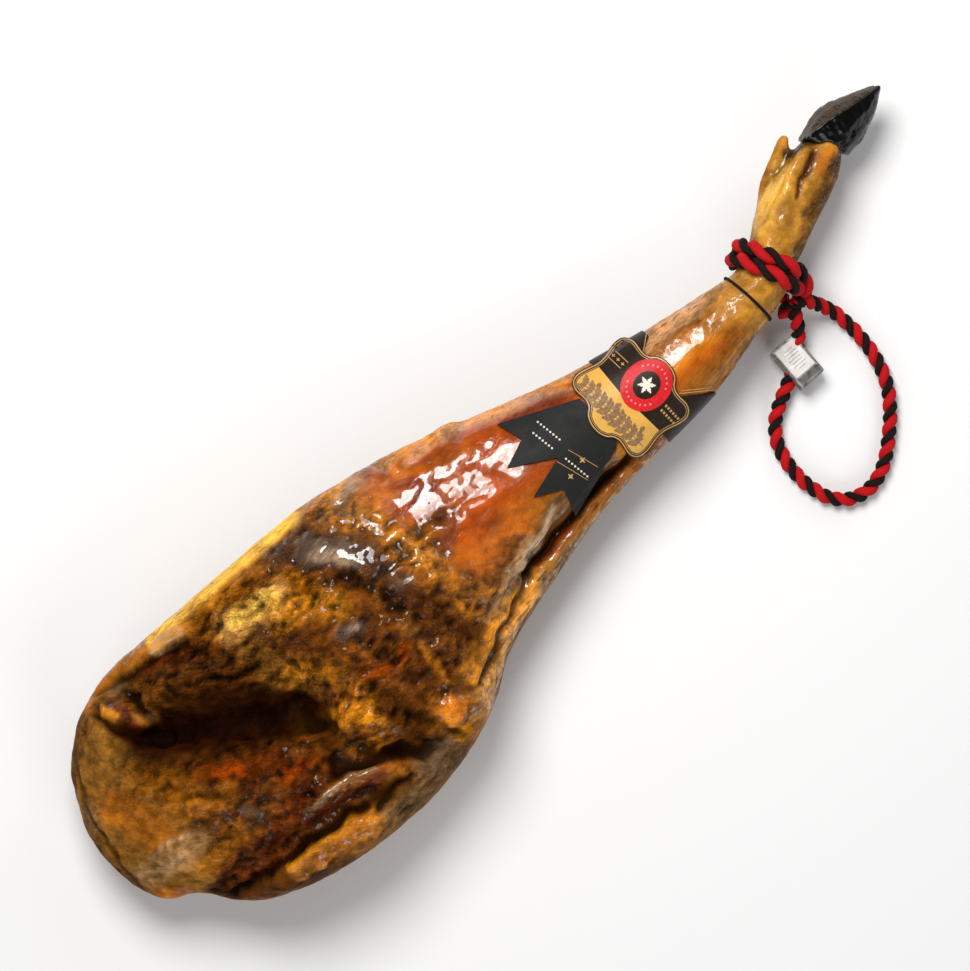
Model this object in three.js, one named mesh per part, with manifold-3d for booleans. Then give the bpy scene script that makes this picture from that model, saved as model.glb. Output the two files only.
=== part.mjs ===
// A cured pork shoulder lying on its rind with the cut face up: leg, trotter and hooves in one length,
// a two-strand rope tied round the ankle with its loop laid out beside it and a seal on the loop,
// a thread round the ankle, and a paper band, label and ribbon tails round the shank.
// Millimetres. +X runs from the butt to the hoof tips, +Z is up, and the origin lies under the middle
// of the object, at the level of the surface it rests on.
import * as THREE from "three";
import { mergeVertices } from "three/addons/utils/BufferGeometryUtils.js";
import Module from "manifold-3d";

const wasm = await Module();
wasm.setup();

// Driving dimensions
const BUTT_X = -351.5;
const BUTT_ROUNDING = 55;
const TOE_X = 309;
const TOE_ROUNDING = 14;
const RINGS = 68;
const RING_POINTS = 56;
const TOP_SHARE = 0.7;
const ROPE_R = 5;
const GAP = 0.35;
const CLEAR = 0.8;
const THREAD_R = 0.8;
const CARD = 0.9;

// The leg, station by station: its two edges seen from above, its top and underside, and how square
// the cut face is. The underside runs below zero where the rind lies flat on the surface.
const STATIONS = [
  { x: -352, left: 82, right: -62, top: 66, under: 14, square: 2.3 },
  { x: -340, left: 79, right: -56, top: 70, under: 9, square: 2.3 },
  { x: -325, left: 85, right: -47, top: 76, under: 4, square: 2.4 },
  { x: -310, left: 89, right: -62, top: 82, under: 0, square: 2.5 },
  { x: -295, left: 95, right: -74, top: 88, under: -3, square: 2.5 },
  { x: -265, left: 101.5, right: -88, top: 97, under: -6, square: 2.6 },
  { x: -225, left: 99, right: -98, top: 103, under: -7, square: 2.7 },
  { x: -170, left: 95, right: -102, top: 106, under: -7, square: 2.7 },
  { x: -125, left: 91.5, right: -95, top: 104, under: -6, square: 2.5 },
  { x: -100, left: 88.5, right: -86, top: 101, under: -4, square: 2.4 },
  { x: -75, left: 82.5, right: -72, top: 97, under: -2, square: 2.3 },
  { x: -45, left: 75, right: -63.5, top: 92, under: 1, square: 2.2 },
  { x: -5, left: 60.5, right: -56, top: 85, under: 6, square: 2.1 },
  { x: 35, left: 44.5, right: -49.5, top: 78, under: 11, square: 2.1 },
  { x: 75, left: 29.5, right: -48, top: 72, under: 15, square: 2.1 },
  { x: 115, left: 18, right: -48, top: 68, under: 17, square: 2.1 },
  { x: 150, left: 9, right: -46, top: 65, under: 19, square: 2.1 },
  { x: 175, left: 4, right: -41, top: 62, under: 20, square: 2 },
  { x: 197, left: -1, right: -38, top: 60, under: 21, square: 2 },
  { x: 215, left: 2, right: -34, top: 59, under: 20, square: 2 },
  { x: 231, left: 13, right: -26, top: 60, under: 17, square: 2.1 },
  { x: 247, left: 21, right: -21, top: 60, under: 15, square: 2.2 },
  { x: 265, left: 24, right: -14, top: 59, under: 14, square: 2.3 },
  { x: 285, left: 27.5, right: -8, top: 56, under: 14, square: 2.3 },
  { x: 298, left: 27.5, right: -1.5, top: 54, under: 15, square: 2.2 },
  { x: 312, left: 29, right: 5, top: 52, under: 17, square: 2.2 },
];

// Relief of the cut face: folds, hollows and bone ends, each a path with its width and height.
const RELIEF = [
  { name: "blade hollow", path: [[-268, 56], [-238, 30], [-208, 8], [-182, -11]], width: 19, height: -20 },
  { name: "hollow's long slope", path: [[-262, 78], [-215, 54], [-185, 28]], width: 21, height: -8 },
  { name: "fold under the upper rim", path: [[-286, 98], [-255, 90], [-222, 82], [-198, 76]], width: 8, height: -7 },
  { name: "flap at the butt", path: [[-288, 94], [-285, 74], [-282, 56], [-268, 40]], width: 9, height: 6 },
  { name: "blade end knob", path: [[-172, -22], [-162, -36]], width: 14, height: 10 },
  { name: "groove below the knob", path: [[-204, -42], [-184, -54], [-162, -68], [-150, -80]], width: 8.5, height: -10 },
  { name: "silver fold", path: [[-238, -50], [-208, -54], [-180, -65]], width: 9, height: 6 },
  { name: "long lower groove", path: [[-308, -52], [-268, -60], [-230, -65], [-195, -72]], width: 8.5, height: -10 },
  { name: "golden fold", path: [[-276, -70], [-240, -78], [-205, -88]], width: 9, height: 7 },
  { name: "joint knob", path: [[-124, -76], [-108, -76]], width: 16, height: 6 },
  { name: "edge of the crust", path: [[-102, 62], [-90, 32], [-86, 2], [-98, -32]], width: 12, height: 4 },
  { name: "upper muscle", path: [[-34, 46], [2, 38]], width: 18, height: 1.5 },
  { name: "valley between muscles", path: [[-66, 26], [-30, 22], [0, 18]], width: 10, height: -4 },
  { name: "slit beside the bone", path: [[-52, -53], [-15, -43], [30, -39.5], [62, -38]], width: 6.5, height: -9 },
  { name: "butt face", path: [[-318, 48], [-300, 10], [-292, -22]], width: 26, height: -5 },
];

// The rope's loop on the surface beside the leg, from the tie round and back to it.
const LOOP_ROUTE = [
  [224, -51, 22], [228, -58, 13], [231, -67, 7], [232, -80, 5.3], [231.5, -92, 5.3],
  [229.5, -104, 5.3], [226, -115, 5.3], [221, -125, 5.3], [214, -134, 5.3], [206, -142, 5.3],
  [197, -149.5, 5.3], [188, -156, 5.3], [178, -161, 5.3], [168, -163, 5.3], [158, -161.5, 5.3],
  [149, -156, 5.3], [143, -147.5, 5.3], [140, -137, 5.3], [139, -126, 5.3], [140, -115, 5.3],
  [142.5, -105, 5.4], [147, -96, 5.7], [153.5, -89, 6.2], [162, -83.5, 7], [171, -79.5, 7.8], [181, -75, 8.3],
  [190, -70, 8.8], [199, -63.5, 10.5], [206, -56.5, 15], [209, -51, 20],
];

const SEAL = { x: 190.3, y: -71.5, z: 10.6, wide: 19.5, long: 31, thick: 12, lean: 0.08, roll: 0.08, turn: -0.08 };
const LOOP_STEPS = 50;
const LOOP_SIDES = 8;

// Reading a table's value at any x, on a smooth curve through its rows
function valueAt(rows, key, x) {
  const last = rows.length - 1;
  let i = 0;
  while (i < last - 1 && x > rows[i + 1].x) i += 1;
  const [a, b] = [rows[i], rows[i + 1]];
  const [before, after] = [rows[Math.max(i - 1, 0)], rows[Math.min(i + 2, last)]];
  const span = b.x - a.x;
  const slopeA = ((b[key] - before[key]) / (b.x - before.x)) * span;
  const slopeB = ((after[key] - a[key]) / (after.x - a.x)) * span;
  const t = THREE.MathUtils.clamp((x - a.x) / span, 0, 1);
  const t2 = t * t;
  const t3 = t2 * t;
  return (
    a[key] * (2 * t3 - 3 * t2 + 1) +
    slopeA * (t3 - 2 * t2 + t) +
    b[key] * (3 * t2 - 2 * t3) +
    slopeB * (t3 - t2)
  );
}

const sizeAt = (key, x) => valueAt(STATIONS, key, x);

function roundedEnd(distance, rounding) {
  const t = THREE.MathUtils.clamp(distance / rounding, 0, 1);
  return Math.sqrt(1 - (1 - t) ** 2);
}

function distanceToPath(x, y, path) {
  let best = Infinity;
  for (let i = 0; i < path.length - 1; i += 1) {
    const [ax, ay] = path[i];
    const [bx, by] = path[i + 1];
    const along = ((x - ax) * (bx - ax) + (y - ay) * (by - ay)) / ((bx - ax) ** 2 + (by - ay) ** 2);
    const t = THREE.MathUtils.clamp(along, 0, 1);
    best = Math.min(best, Math.hypot(x - ax - t * (bx - ax), y - ay - t * (by - ay)));
  }
  return best;
}

function reliefAt(x, y) {
  return RELIEF.reduce((sum, r) => sum + r.height * Math.exp(-((distanceToPath(x, y, r.path) / r.width) ** 2)), 0);
}

// A point of the leg's section at x. The angle runs round from the left edge over the top;
// grow moves the whole section outwards.
function legPoint(x, angle, grow = 0, relief = false) {
  const [left, right] = [sizeAt("left", x), sizeAt("right", x)];
  const [top, under] = [sizeAt("top", x), sizeAt("under", x)];
  const round = Math.min(roundedEnd(x - BUTT_X, BUTT_ROUNDING), roundedEnd(TOE_X - x, TOE_ROUNDING));
  const level = under + 0.46 * (top - under);
  const [c, s] = [Math.cos(angle), Math.sin(angle)];
  const power = 2 / (s > 0 ? sizeAt("square", x) : 2.15);
  const height = (s > 0 ? top - level : level - under) * round + grow;
  const y = (left + right) / 2 + (((left - right) / 2) * round + grow) * Math.sign(c) * Math.abs(c) ** power;
  const z = level + height * Math.sign(s) * Math.abs(s) ** power;
  const raised = relief ? reliefAt(x, y) * THREE.MathUtils.smoothstep(s, 0.05, 0.5) * round : 0;
  return new THREE.Vector3(x, y + raised * c, grow > 0 ? z : Math.max(z + raised * s, 0));
}

// A closed surface laid over a sphere's grid: s runs from one pole to the other, t round it.
function loft(around, along, pointAt) {
  const geometry = new THREE.SphereGeometry(1, around, along);
  const { position, uv } = geometry.attributes;
  for (let i = 0; i < position.count; i += 1) {
    const p = pointAt(1 - uv.getY(i), Math.round(uv.getX(i) * around) / around);
    position.setXYZ(i, p.x, p.y, p.z);
  }
  return geometry;
}

function toSolid(geometry) {
  const bare = new THREE.BufferGeometry().setAttribute("position", geometry.getAttribute("position"));
  bare.setIndex(geometry.index);
  const merged = mergeVertices(bare, 1e-4);
  const index = merged.index
    ? Array.from(merged.index.array)
    : [...Array(merged.getAttribute("position").count).keys()];
  const make = (triVerts) =>
    new wasm.Manifold(
      new wasm.Mesh({
        numProp: 3,
        vertProperties: new Float32Array(merged.getAttribute("position").array),
        triVerts: new Uint32Array(triVerts),
      }),
    );
  const solid = make(index);
  if (solid.volume() > 0) return solid;
  for (let i = 0; i < index.length; i += 3) [index[i + 1], index[i + 2]] = [index[i + 2], index[i + 1]];
  return make(index);
}

function toGeometry(solid) {
  const { numProp, vertProperties, triVerts } = solid.getMesh();
  const position = new Float32Array((vertProperties.length / numProp) * 3);
  for (let i = 0; i < position.length / 3; i += 1) {
    position.set(vertProperties.subarray(i * numProp, i * numProp + 3), i * 3);
  }
  const geometry = new THREE.BufferGeometry().setAttribute("position", new THREE.BufferAttribute(position, 3));
  geometry.setIndex(new THREE.BufferAttribute(triVerts, 1));
  geometry.computeVertexNormals();
  return geometry;
}

function tube(curve, steps, radius, sides) {
  const corner = (i) => new THREE.Vector2(radius, 0).rotateAround(new THREE.Vector2(), (i / sides) * 2 * Math.PI);
  const section = new THREE.Shape(Array.from({ length: sides }, (_, i) => corner(i)));
  return new THREE.ExtrudeGeometry(section, { steps, bevelEnabled: false, extrudePath: curve });
}

function ringAngle(t) {
  const cut = TOP_SHARE;
  return t < cut ? (t / cut) * Math.PI : Math.PI * (1 + (t - cut) / (1 - cut));
}

// The leg's stations lie closer together where the face is folded and at the foot.
function legX(s) {
  const knots = [
    [0, BUTT_X], [0.05, -349], [0.12, -335], [0.6, -60], [0.78, 170], [0.97, 300], [1, TOE_X],
  ];
  const i = Math.max(1, knots.findIndex(([k]) => k >= s - 1e-9));
  const [[k0, x0], [k1, x1]] = [knots[i - 1], knots[i]];
  return x0 + ((s - k0) / (k1 - k0)) * (x1 - x0);
}

function legBody() {
  return toSolid(loft(RING_POINTS, RINGS, (s, t) => legPoint(legX(s), ringAngle(t), 0, true)));
}

// A tapered finger with a rounded tip, from its root to its tip
function finger(root, tip, rootR, tipR) {
  const length = root.distanceTo(tip) - tipR;
  const outline = [new THREE.Vector2(0, 0), new THREE.Vector2(rootR * 0.8, 1)];
  for (let i = 1; i < 4; i += 1) {
    outline.push(new THREE.Vector2(THREE.MathUtils.lerp(rootR, tipR, (i / 4) ** 1.6), (length * i) / 4));
  }
  for (let i = 0; i < 4; i += 1) {
    const a = (i / 4) * (Math.PI / 2);
    outline.push(new THREE.Vector2(tipR * Math.cos(a), length + tipR * Math.sin(a)));
  }
  outline.push(new THREE.Vector2(0, length + tipR));
  const geometry = new THREE.LatheGeometry(outline, 12);
  const turn = new THREE.Quaternion().setFromUnitVectors(
    new THREE.Vector3(0, 1, 0),
    tip.clone().sub(root).normalize(),
  );
  return toSolid(geometry.applyQuaternion(turn).translate(root.x, root.y, root.z));
}

const DEWCLAWS = [
  { root: [240, 4, 50], tip: [290, 23, 53], rootR: 10, tipR: 4.5 },
  { root: [246, 14, 33], tip: [287, 38.5, 34], rootR: 9, tipR: 4 },
];

// The two hooves, each flat against the other at its level; outer is the height of its outer face,
// and ridge is where that face folds.
const CLAWS = {
  hoof_upper: {
    tip: [351.5, 17, 37.5], level: 34.9,
    rows: [
      { x: 290, left: 30.4, ridge: 27, right: -0.5, outer: 58 },
      { x: 300, left: 33, ridge: 26, right: 0, outer: 58.5 },
      { x: 312, left: 36, ridge: 24, right: 0.3, outer: 57 },
      { x: 325, left: 32, ridge: 21.5, right: 3, outer: 53 },
      { x: 337, left: 26.5, ridge: 19.5, right: 7, outer: 47.5 },
      { x: 346, left: 22, ridge: 18, right: 12, outer: 42.5 },
      { x: 351, left: 18.5, ridge: 17, right: 15.5, outer: 38.5 },
    ],
  },
  hoof_lower: {
    tip: [350, 20, 31.5], level: 34.3,
    rows: [
      { x: 290, left: 30.4, ridge: 24, right: 0.5, outer: 11 },
      { x: 300, left: 32.5, ridge: 23, right: 1, outer: 11 },
      { x: 312, left: 35, ridge: 22, right: 1.5, outer: 13 },
      { x: 325, left: 31.5, ridge: 21, right: 4.5, outer: 17 },
      { x: 337, left: 26.5, ridge: 20.5, right: 9, outer: 22 },
      { x: 345, left: 23, ridge: 20, right: 14, outer: 27 },
      { x: 349.5, left: 21, ridge: 19.5, right: 18, outer: 31 },
    ],
  },
};
const HOOF_AROUND = 12;
const HOOF_ALONG = 10;
const HOOF_SLANT = 0.5;

function hoof({ tip, level, rows }) {
  const [start, end] = [rows[0].x, rows[rows.length - 1].x];
  return toSolid(
    loft(HOOF_AROUND, HOOF_ALONG, (s, t) => {
      if (s > 1 - 1e-6) return new THREE.Vector3(...tip);
      const k = Math.round(s * HOOF_ALONG);
      const forward = Math.max(k - 1, 0) / (HOOF_ALONG - 2);
      const x = THREE.MathUtils.lerp(start, end, forward);
      const [left, right] = [valueAt(rows, "left", x), valueAt(rows, "right", x)];
      const reach = valueAt(rows, "outer", x) - level;
      const a = t * 2 * Math.PI;
      const ridge = valueAt(rows, "ridge", x);
      const across = Math.cos(a);
      const on = k === 0 ? 0 : 1;
      const y = ridge + on * (across > 0 ? left - ridge : ridge - right) * across;
      const outer = Math.sin(a) * reach > 0 ? (1 - Math.abs(across) ** 1.5) ** 0.75 : 0;
      const out = on ? outer : 0.5;
      return new THREE.Vector3(x + HOOF_SLANT * (left - y) * (1 - forward) ** 2, y, level + reach * out);
    }),
  );
}

// The toe inside the hooves, a little larger, to hollow them out.
function toeClearance() {
  return toSolid(
    loft(24, 16, (s, t) => {
      const x = THREE.MathUtils.lerp(270, TOE_X + GAP, s);
      const on = s < 1e-6 || s > 1 - 1e-6 ? 0 : 1;
      const p = legPoint(Math.min(x, TOE_X - 0.01), t * 2 * Math.PI, GAP * 1.4);
      const centre = legPoint(TOE_X, 0);
      return on ? p : new THREE.Vector3(x, centre.y, centre.z);
    }),
  );
}

// Rope turns round the ankle: closed rings that slant across it, lying on the skin.
const ROPE_TURNS = [
  { x: 214, slant: -0.27, lift: 0 },
  { x: 224.5, slant: -0.27, lift: 0.5 },
];

const RING_STOPS = 20;

function ankleRing({ x, slant, lift }, radius) {
  const middle = (sizeAt("left", x) + sizeAt("right", x)) / 2;
  const ring = [];
  for (let i = 0; i < RING_STOPS; i += 1) {
    const angle = (i / RING_STOPS) * 2 * Math.PI;
    const y = legPoint(x, angle).y;
    ring.push(legPoint(x + slant * (y - middle), angle, radius + lift));
  }
  return new THREE.CatmullRomCurve3(ring, true);
}

function ropeTie(radius) {
  const turns = ROPE_TURNS.map((turn) =>
    toSolid(new THREE.TubeGeometry(ankleRing(turn, ROPE_R + CLEAR), 28, radius, 8, true)),
  );
  const crossing = new THREE.CatmullRomCurve3([
    new THREE.Vector3(208, -41, 20),
    new THREE.Vector3(217, -42.5, 27),
    new THREE.Vector3(230, -40, 36),
    new THREE.Vector3(232, -33, 44),
  ]);
  return turns.reduce((all, turn) => all.add(turn)).add(toSolid(tube(crossing, 6, radius + 0.4, 8)));
}

const THREAD_TURNS = [
  { x: 193.5, slant: 0, lift: 0.2 },
  { x: 195.5, slant: 0.045, lift: 0.2 },
];

function ankleThread(radius) {
  return THREAD_TURNS.map((turn) =>
    toSolid(new THREE.TubeGeometry(ankleRing(turn, radius + CLEAR), 22, radius, 4, true)),
  ).reduce((all, turn) => all.add(turn));
}

// Paper on the shank: a shell that follows the leg, cut to an outline seen from above.
const SHELL_POINTS = 40;

function legShell(x0, x1, from, thick, steps) {
  const solid = (grow) =>
    toSolid(
      loft(SHELL_POINTS, steps + 2, (s, t) => {
        const k = Math.round(s * (steps + 2));
        const x = THREE.MathUtils.lerp(x0, x1, THREE.MathUtils.clamp((k - 1) / steps, 0, 1));
        const end = k === 0 || k === steps + 2;
        const centre = new THREE.Vector3(x, (sizeAt("left", x) + sizeAt("right", x)) / 2, sizeAt("top", x) / 2);
        return end ? centre : legPoint(x, ringAngle(t), grow);
      }),
    );
  return solid(from + thick).subtract(solid(from));
}

function prism(shape, low, high) {
  return toSolid(
    new THREE.ExtrudeGeometry(shape, { depth: high - low, bevelEnabled: false, curveSegments: 3 }).translate(0, 0, low),
  );
}

// The label's outline: four corner lobes, a dip in the long edges and a bulge on the short ones.
const LABEL = { x: 96, y: -11.5, corner: 25, half: 35, bulge: 32, turn: -0.08 };

function labelShape() {
  const { x, y, corner: c, half: h, bulge: b, turn } = LABEL;
  const place = (u, v) => new THREE.Vector2(x + u, y + v).rotateAround(new THREE.Vector2(x, y), turn);
  const start = place(0, h - 3);
  const shape = new THREE.Shape().moveTo(start.x, start.y);
  const quarter = (u, v, forward) => {
    const curves = [
      [0, h - 3, 6, h - 3, 10, h, c - 8, h],
      [c - 8, h, c - 2, h, c + 1, h - 5, c, h - 11],
      [c, h - 11, c - 1, h - 16, c - 1, h - 19, c + 1.5, h - 22],
      [c + 1.5, h - 22, b - 2, 10, b, 5, b, 0],
    ];
    const ordered = forward ? curves : curves.map((k) => [k[6], k[7], k[4], k[5], k[2], k[3], k[0], k[1]]).reverse();
    ordered.forEach((k) => {
      const [p, q, r] = [2, 4, 6].map((i) => place(u * k[i], v * k[i + 1]));
      shape.bezierCurveTo(p.x, p.y, q.x, q.y, r.x, r.y);
    });
  };
  quarter(1, 1, true);
  quarter(1, -1, false);
  quarter(-1, -1, true);
  quarter(-1, 1, false);
  return shape;
}

function polygon(points) {
  return new THREE.Shape(points.map(([x, y]) => new THREE.Vector2(x, y)));
}

const BAND = { from: 94, to: 137 };
const BAND_NOTCH = [[141, 17.5], [133, 12], [117, 1], [115, -15], [118, -31.5], [137, -46.5], [141, -49]];
const TAILS_OUTLINE = [
  [72, 12], [23.5, 37.4], [27.7, 19.5], [8.4, 13.2], [35.7, -5], [7, -11.6], [24.1, -21.5], [17.4, -39.5], [66, -27], [74, -20],
];

function seal(routeCurve) {
  const { x, y, z, wide, long, thick, lean, roll, turn } = SEAL;
  const bevel = 1.2;
  const face = polygon([
    [-wide / 2 + bevel, -long / 2 + bevel], [wide / 2 - bevel, -long / 2 + bevel],
    [wide / 2 - bevel, long / 2 - bevel], [-wide / 2 + bevel, long / 2 - bevel],
  ]);
  const block = new THREE.ExtrudeGeometry(face, {
    depth: thick - 2 * bevel, bevelThickness: bevel, bevelSize: bevel, bevelSegments: 2,
  }).translate(0, 0, bevel - thick / 2);
  const place = new THREE.Matrix4().compose(
    new THREE.Vector3(x, y, z),
    new THREE.Quaternion().setFromEuler(new THREE.Euler(-lean, roll, turn)),
    new THREE.Vector3(1, 1, 1),
  );
  return toSolid(block.applyMatrix4(place)).subtract(toSolid(tube(routeCurve, LOOP_STEPS, ROPE_R + GAP, LOOP_SIDES)));
}

// Assembly
const finish = (color, roughness, metalness = 0) => new THREE.MeshStandardMaterial({ color, roughness, metalness });
const part = new THREE.Group();

function addPiece(name, solid, material) {
  const mesh = new THREE.Mesh(toGeometry(solid), material);
  mesh.name = name;
  part.add(mesh);
}

const leg = DEWCLAWS.reduce(
  (all, d) => all.add(finger(new THREE.Vector3(...d.root), new THREE.Vector3(...d.tip), d.rootR, d.tipR)),
  legBody(),
);
addPiece("ham", leg, finish(0x9a5a1c, 0.45));

const grownFingers = DEWCLAWS.map((d) =>
  finger(new THREE.Vector3(...d.root), new THREE.Vector3(...d.tip), d.rootR + GAP, d.tipR + GAP),
);
Object.entries(CLAWS).forEach(([name, claw]) => {
  const shell = hoof(claw).subtract(toeClearance());
  addPiece(name, grownFingers.reduce((all, f) => all.subtract(f), shell), finish(0x17140f, 0.25));
});

const route = new THREE.CatmullRomCurve3(LOOP_ROUTE.map((p) => new THREE.Vector3(...p)));
addPiece("rope_tie", ropeTie(ROPE_R), finish(0xb01822, 0.85));
addPiece("rope_loop", toSolid(tube(route, LOOP_STEPS, ROPE_R, LOOP_SIDES)).subtract(ropeTie(ROPE_R + GAP)), finish(0xb01822, 0.85));
addPiece("seal", seal(route), finish(0x8c9290, 0.35, 0.6));
addPiece("ankle_thread", ankleThread(THREAD_R), finish(0x1d1410, 0.7));

const band = legShell(BAND.from, BAND.to, 0.9, CARD, 3).subtract(prism(polygon(BAND_NOTCH), 45, 120));
const tails = legShell(4, 76, 0.9, CARD, 8).intersect(prism(polygon(TAILS_OUTLINE), 40, 120));
const label = legShell(60, 132, 2.3, CARD + 0.2, 8).intersect(prism(labelShape(), 40, 120));
addPiece("paper_band", band, finish(0x1a1614, 0.5));
addPiece("ribbon_tails", tails, finish(0x24272a, 0.5));
addPiece("label", label, finish(0xb98a36, 0.45));

export default part;
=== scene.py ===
from math import copysign, cos, hypot, pi, radians, sin, tau

import bmesh
import bpy
import numpy as np
from mathutils import Matrix, Vector, noise
from mathutils.bvhtree import BVHTree


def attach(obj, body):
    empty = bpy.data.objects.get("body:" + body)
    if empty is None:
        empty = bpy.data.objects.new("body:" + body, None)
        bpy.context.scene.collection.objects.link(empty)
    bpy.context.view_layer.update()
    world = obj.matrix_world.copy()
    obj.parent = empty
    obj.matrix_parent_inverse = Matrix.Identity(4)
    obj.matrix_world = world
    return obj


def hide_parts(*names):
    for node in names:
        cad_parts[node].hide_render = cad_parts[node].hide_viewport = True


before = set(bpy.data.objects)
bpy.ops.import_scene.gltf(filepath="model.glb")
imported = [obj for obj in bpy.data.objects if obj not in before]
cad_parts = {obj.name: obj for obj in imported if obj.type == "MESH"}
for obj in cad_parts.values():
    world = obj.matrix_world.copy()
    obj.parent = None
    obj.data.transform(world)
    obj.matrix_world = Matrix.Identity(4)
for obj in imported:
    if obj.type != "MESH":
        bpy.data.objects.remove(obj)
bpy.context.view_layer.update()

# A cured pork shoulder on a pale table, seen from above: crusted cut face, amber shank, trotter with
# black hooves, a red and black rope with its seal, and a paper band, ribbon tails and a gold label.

MM = 0.001
ROOT = "root"

# Camera: straight above the leg, turned so that the foot points to the upper right
VIEW_HEIGHT = 621.4 * MM
VIEW_CENTRE = Vector((-9.3, 15.2, 45)) * MM
CAMERA_AWAY = 2.4
SENSOR = 36

camera = bpy.data.objects.new("camera", bpy.data.cameras.new("camera"))
bpy.context.scene.collection.objects.link(camera)
camera.data.sensor_width = SENSOR
camera.data.lens = SENSOR * CAMERA_AWAY / VIEW_HEIGHT
camera.data.clip_end = 20
camera.location = VIEW_CENTRE + Vector((0, 0, CAMERA_AWAY))
camera.rotation_euler = (0, 0, radians(-45))
bpy.context.scene.camera = camera


# Colours and materials

def srgb(red, green, blue, alpha=1.0):
    """A colour given in 0 to 255 as the linear numbers that shaders use."""
    parts = [c / 255 for c in (red, green, blue)]
    return (*[c / 12.92 if c <= 0.04045 else ((c + 0.055) / 1.055) ** 2.4 for c in parts], alpha)


class Finish:
    """A material under construction, with one short call for each kind of node."""

    def __init__(self, name, **sockets):
        self.material = bpy.data.materials.new(name)
        self.material.use_nodes = True
        self.nodes = self.material.node_tree.nodes
        self.shader = self.nodes["Principled BSDF"]
        for key, value in sockets.items():
            self.shader.inputs[key].default_value = value

    def link(self, source, target):
        self.material.node_tree.links.new(source, target)

    def put(self, value, socket):
        if isinstance(value, bpy.types.NodeSocket):
            self.link(value, socket)
        else:
            socket.default_value = value

    def set(self, socket, value):
        self.put(value, self.shader.inputs[socket])

    def object_mm(self, stretch=(1, 1, 1), turn=0.0):
        """Object coordinates in millimetres, turned, then stretched along the axes."""
        place = self.nodes.new("ShaderNodeMapping")
        place.vector_type = "TEXTURE"
        place.inputs["Scale"].default_value = [s * MM for s in stretch]
        place.inputs["Rotation"].default_value = (0, 0, turn)
        self.link(self.nodes.new("ShaderNodeTexCoord").outputs["Object"], place.inputs["Vector"])
        return place.outputs["Vector"]

    def axis(self, vector, name):
        made = self.nodes.new("ShaderNodeSeparateXYZ")
        self.link(vector, made.inputs["Vector"])
        return made.outputs[name]

    def noise(self, vector, size, detail=4.0, rough=0.55, warp=0.0):
        made = self.nodes.new("ShaderNodeTexNoise")
        self.link(vector, made.inputs["Vector"])
        made.inputs["Scale"].default_value = 1 / size
        made.inputs["Detail"].default_value = detail
        made.inputs["Roughness"].default_value = rough
        made.inputs["Distortion"].default_value = warp
        return made.outputs["Fac"]

    def warped(self, vector, size, reach):
        """Coordinates pushed about by soft noise, so that what is drawn on them bends."""
        push = self.nodes.new("ShaderNodeTexNoise")
        self.link(vector, push.inputs["Vector"])
        push.inputs["Scale"].default_value = 1 / size
        push.inputs["Detail"].default_value = 2
        made = self.nodes.new("ShaderNodeVectorMath")
        made.operation = "MULTIPLY_ADD"
        self.link(push.outputs["Color"], made.inputs[0])
        made.inputs[1].default_value = (2 * reach,) * 3
        self.link(vector, made.inputs[2])
        return made.outputs["Vector"]

    def cells(self, vector, size):
        """Pebbles of that size: the distance from their middles, and a number for each."""
        made = self.nodes.new("ShaderNodeTexVoronoi")
        self.link(vector, made.inputs["Vector"])
        made.inputs["Scale"].default_value = 1 / size
        return made.outputs["Distance"], self.split(made.outputs["Color"])[0]

    def sum(self, operation, a, b=0.0, c=0.0):
        made = self.nodes.new("ShaderNodeMath")
        made.operation = operation
        for value, socket in zip((a, b, c), made.inputs):
            self.put(value, socket)
        return made.outputs["Value"]

    def fit(self, value, low, high, to_low=0.0, to_high=1.0):
        """A value brought from one range to another, and held there."""
        made = self.nodes.new("ShaderNodeMapRange")
        self.put(value, made.inputs["Value"])
        for key, number in zip(("From Min", "From Max", "To Min", "To Max"), (low, high, to_low, to_high)):
            self.put(number, made.inputs[key])
        return made.outputs["Result"]

    def mix(self, share, a, b, blend="MIX"):
        made = self.nodes.new("ShaderNodeMix")
        made.data_type = "RGBA"
        made.blend_type = blend
        self.put(share, made.inputs[0])
        self.put(a, made.inputs[6])
        self.put(b, made.inputs[7])
        return made.outputs[2]

    def attribute(self, name):
        made = self.nodes.new("ShaderNodeAttribute")
        made.attribute_name = name
        return made

    def split(self, colour):
        made = self.nodes.new("ShaderNodeSeparateColor")
        self.link(colour, made.inputs["Color"])
        return made.outputs

    def bump(self, height, depth, strength=1.0):
        """Adds a relief of that depth in metres to what the shader already has."""
        made = self.nodes.new("ShaderNodeBump")
        made.inputs["Distance"].default_value = depth
        self.put(strength, made.inputs["Strength"])
        self.put(height, made.inputs["Height"])
        before = self.shader.inputs["Normal"]
        if before.is_linked:
            self.link(before.links[0].from_socket, made.inputs["Normal"])
        self.link(made.outputs["Normal"], before)


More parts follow.
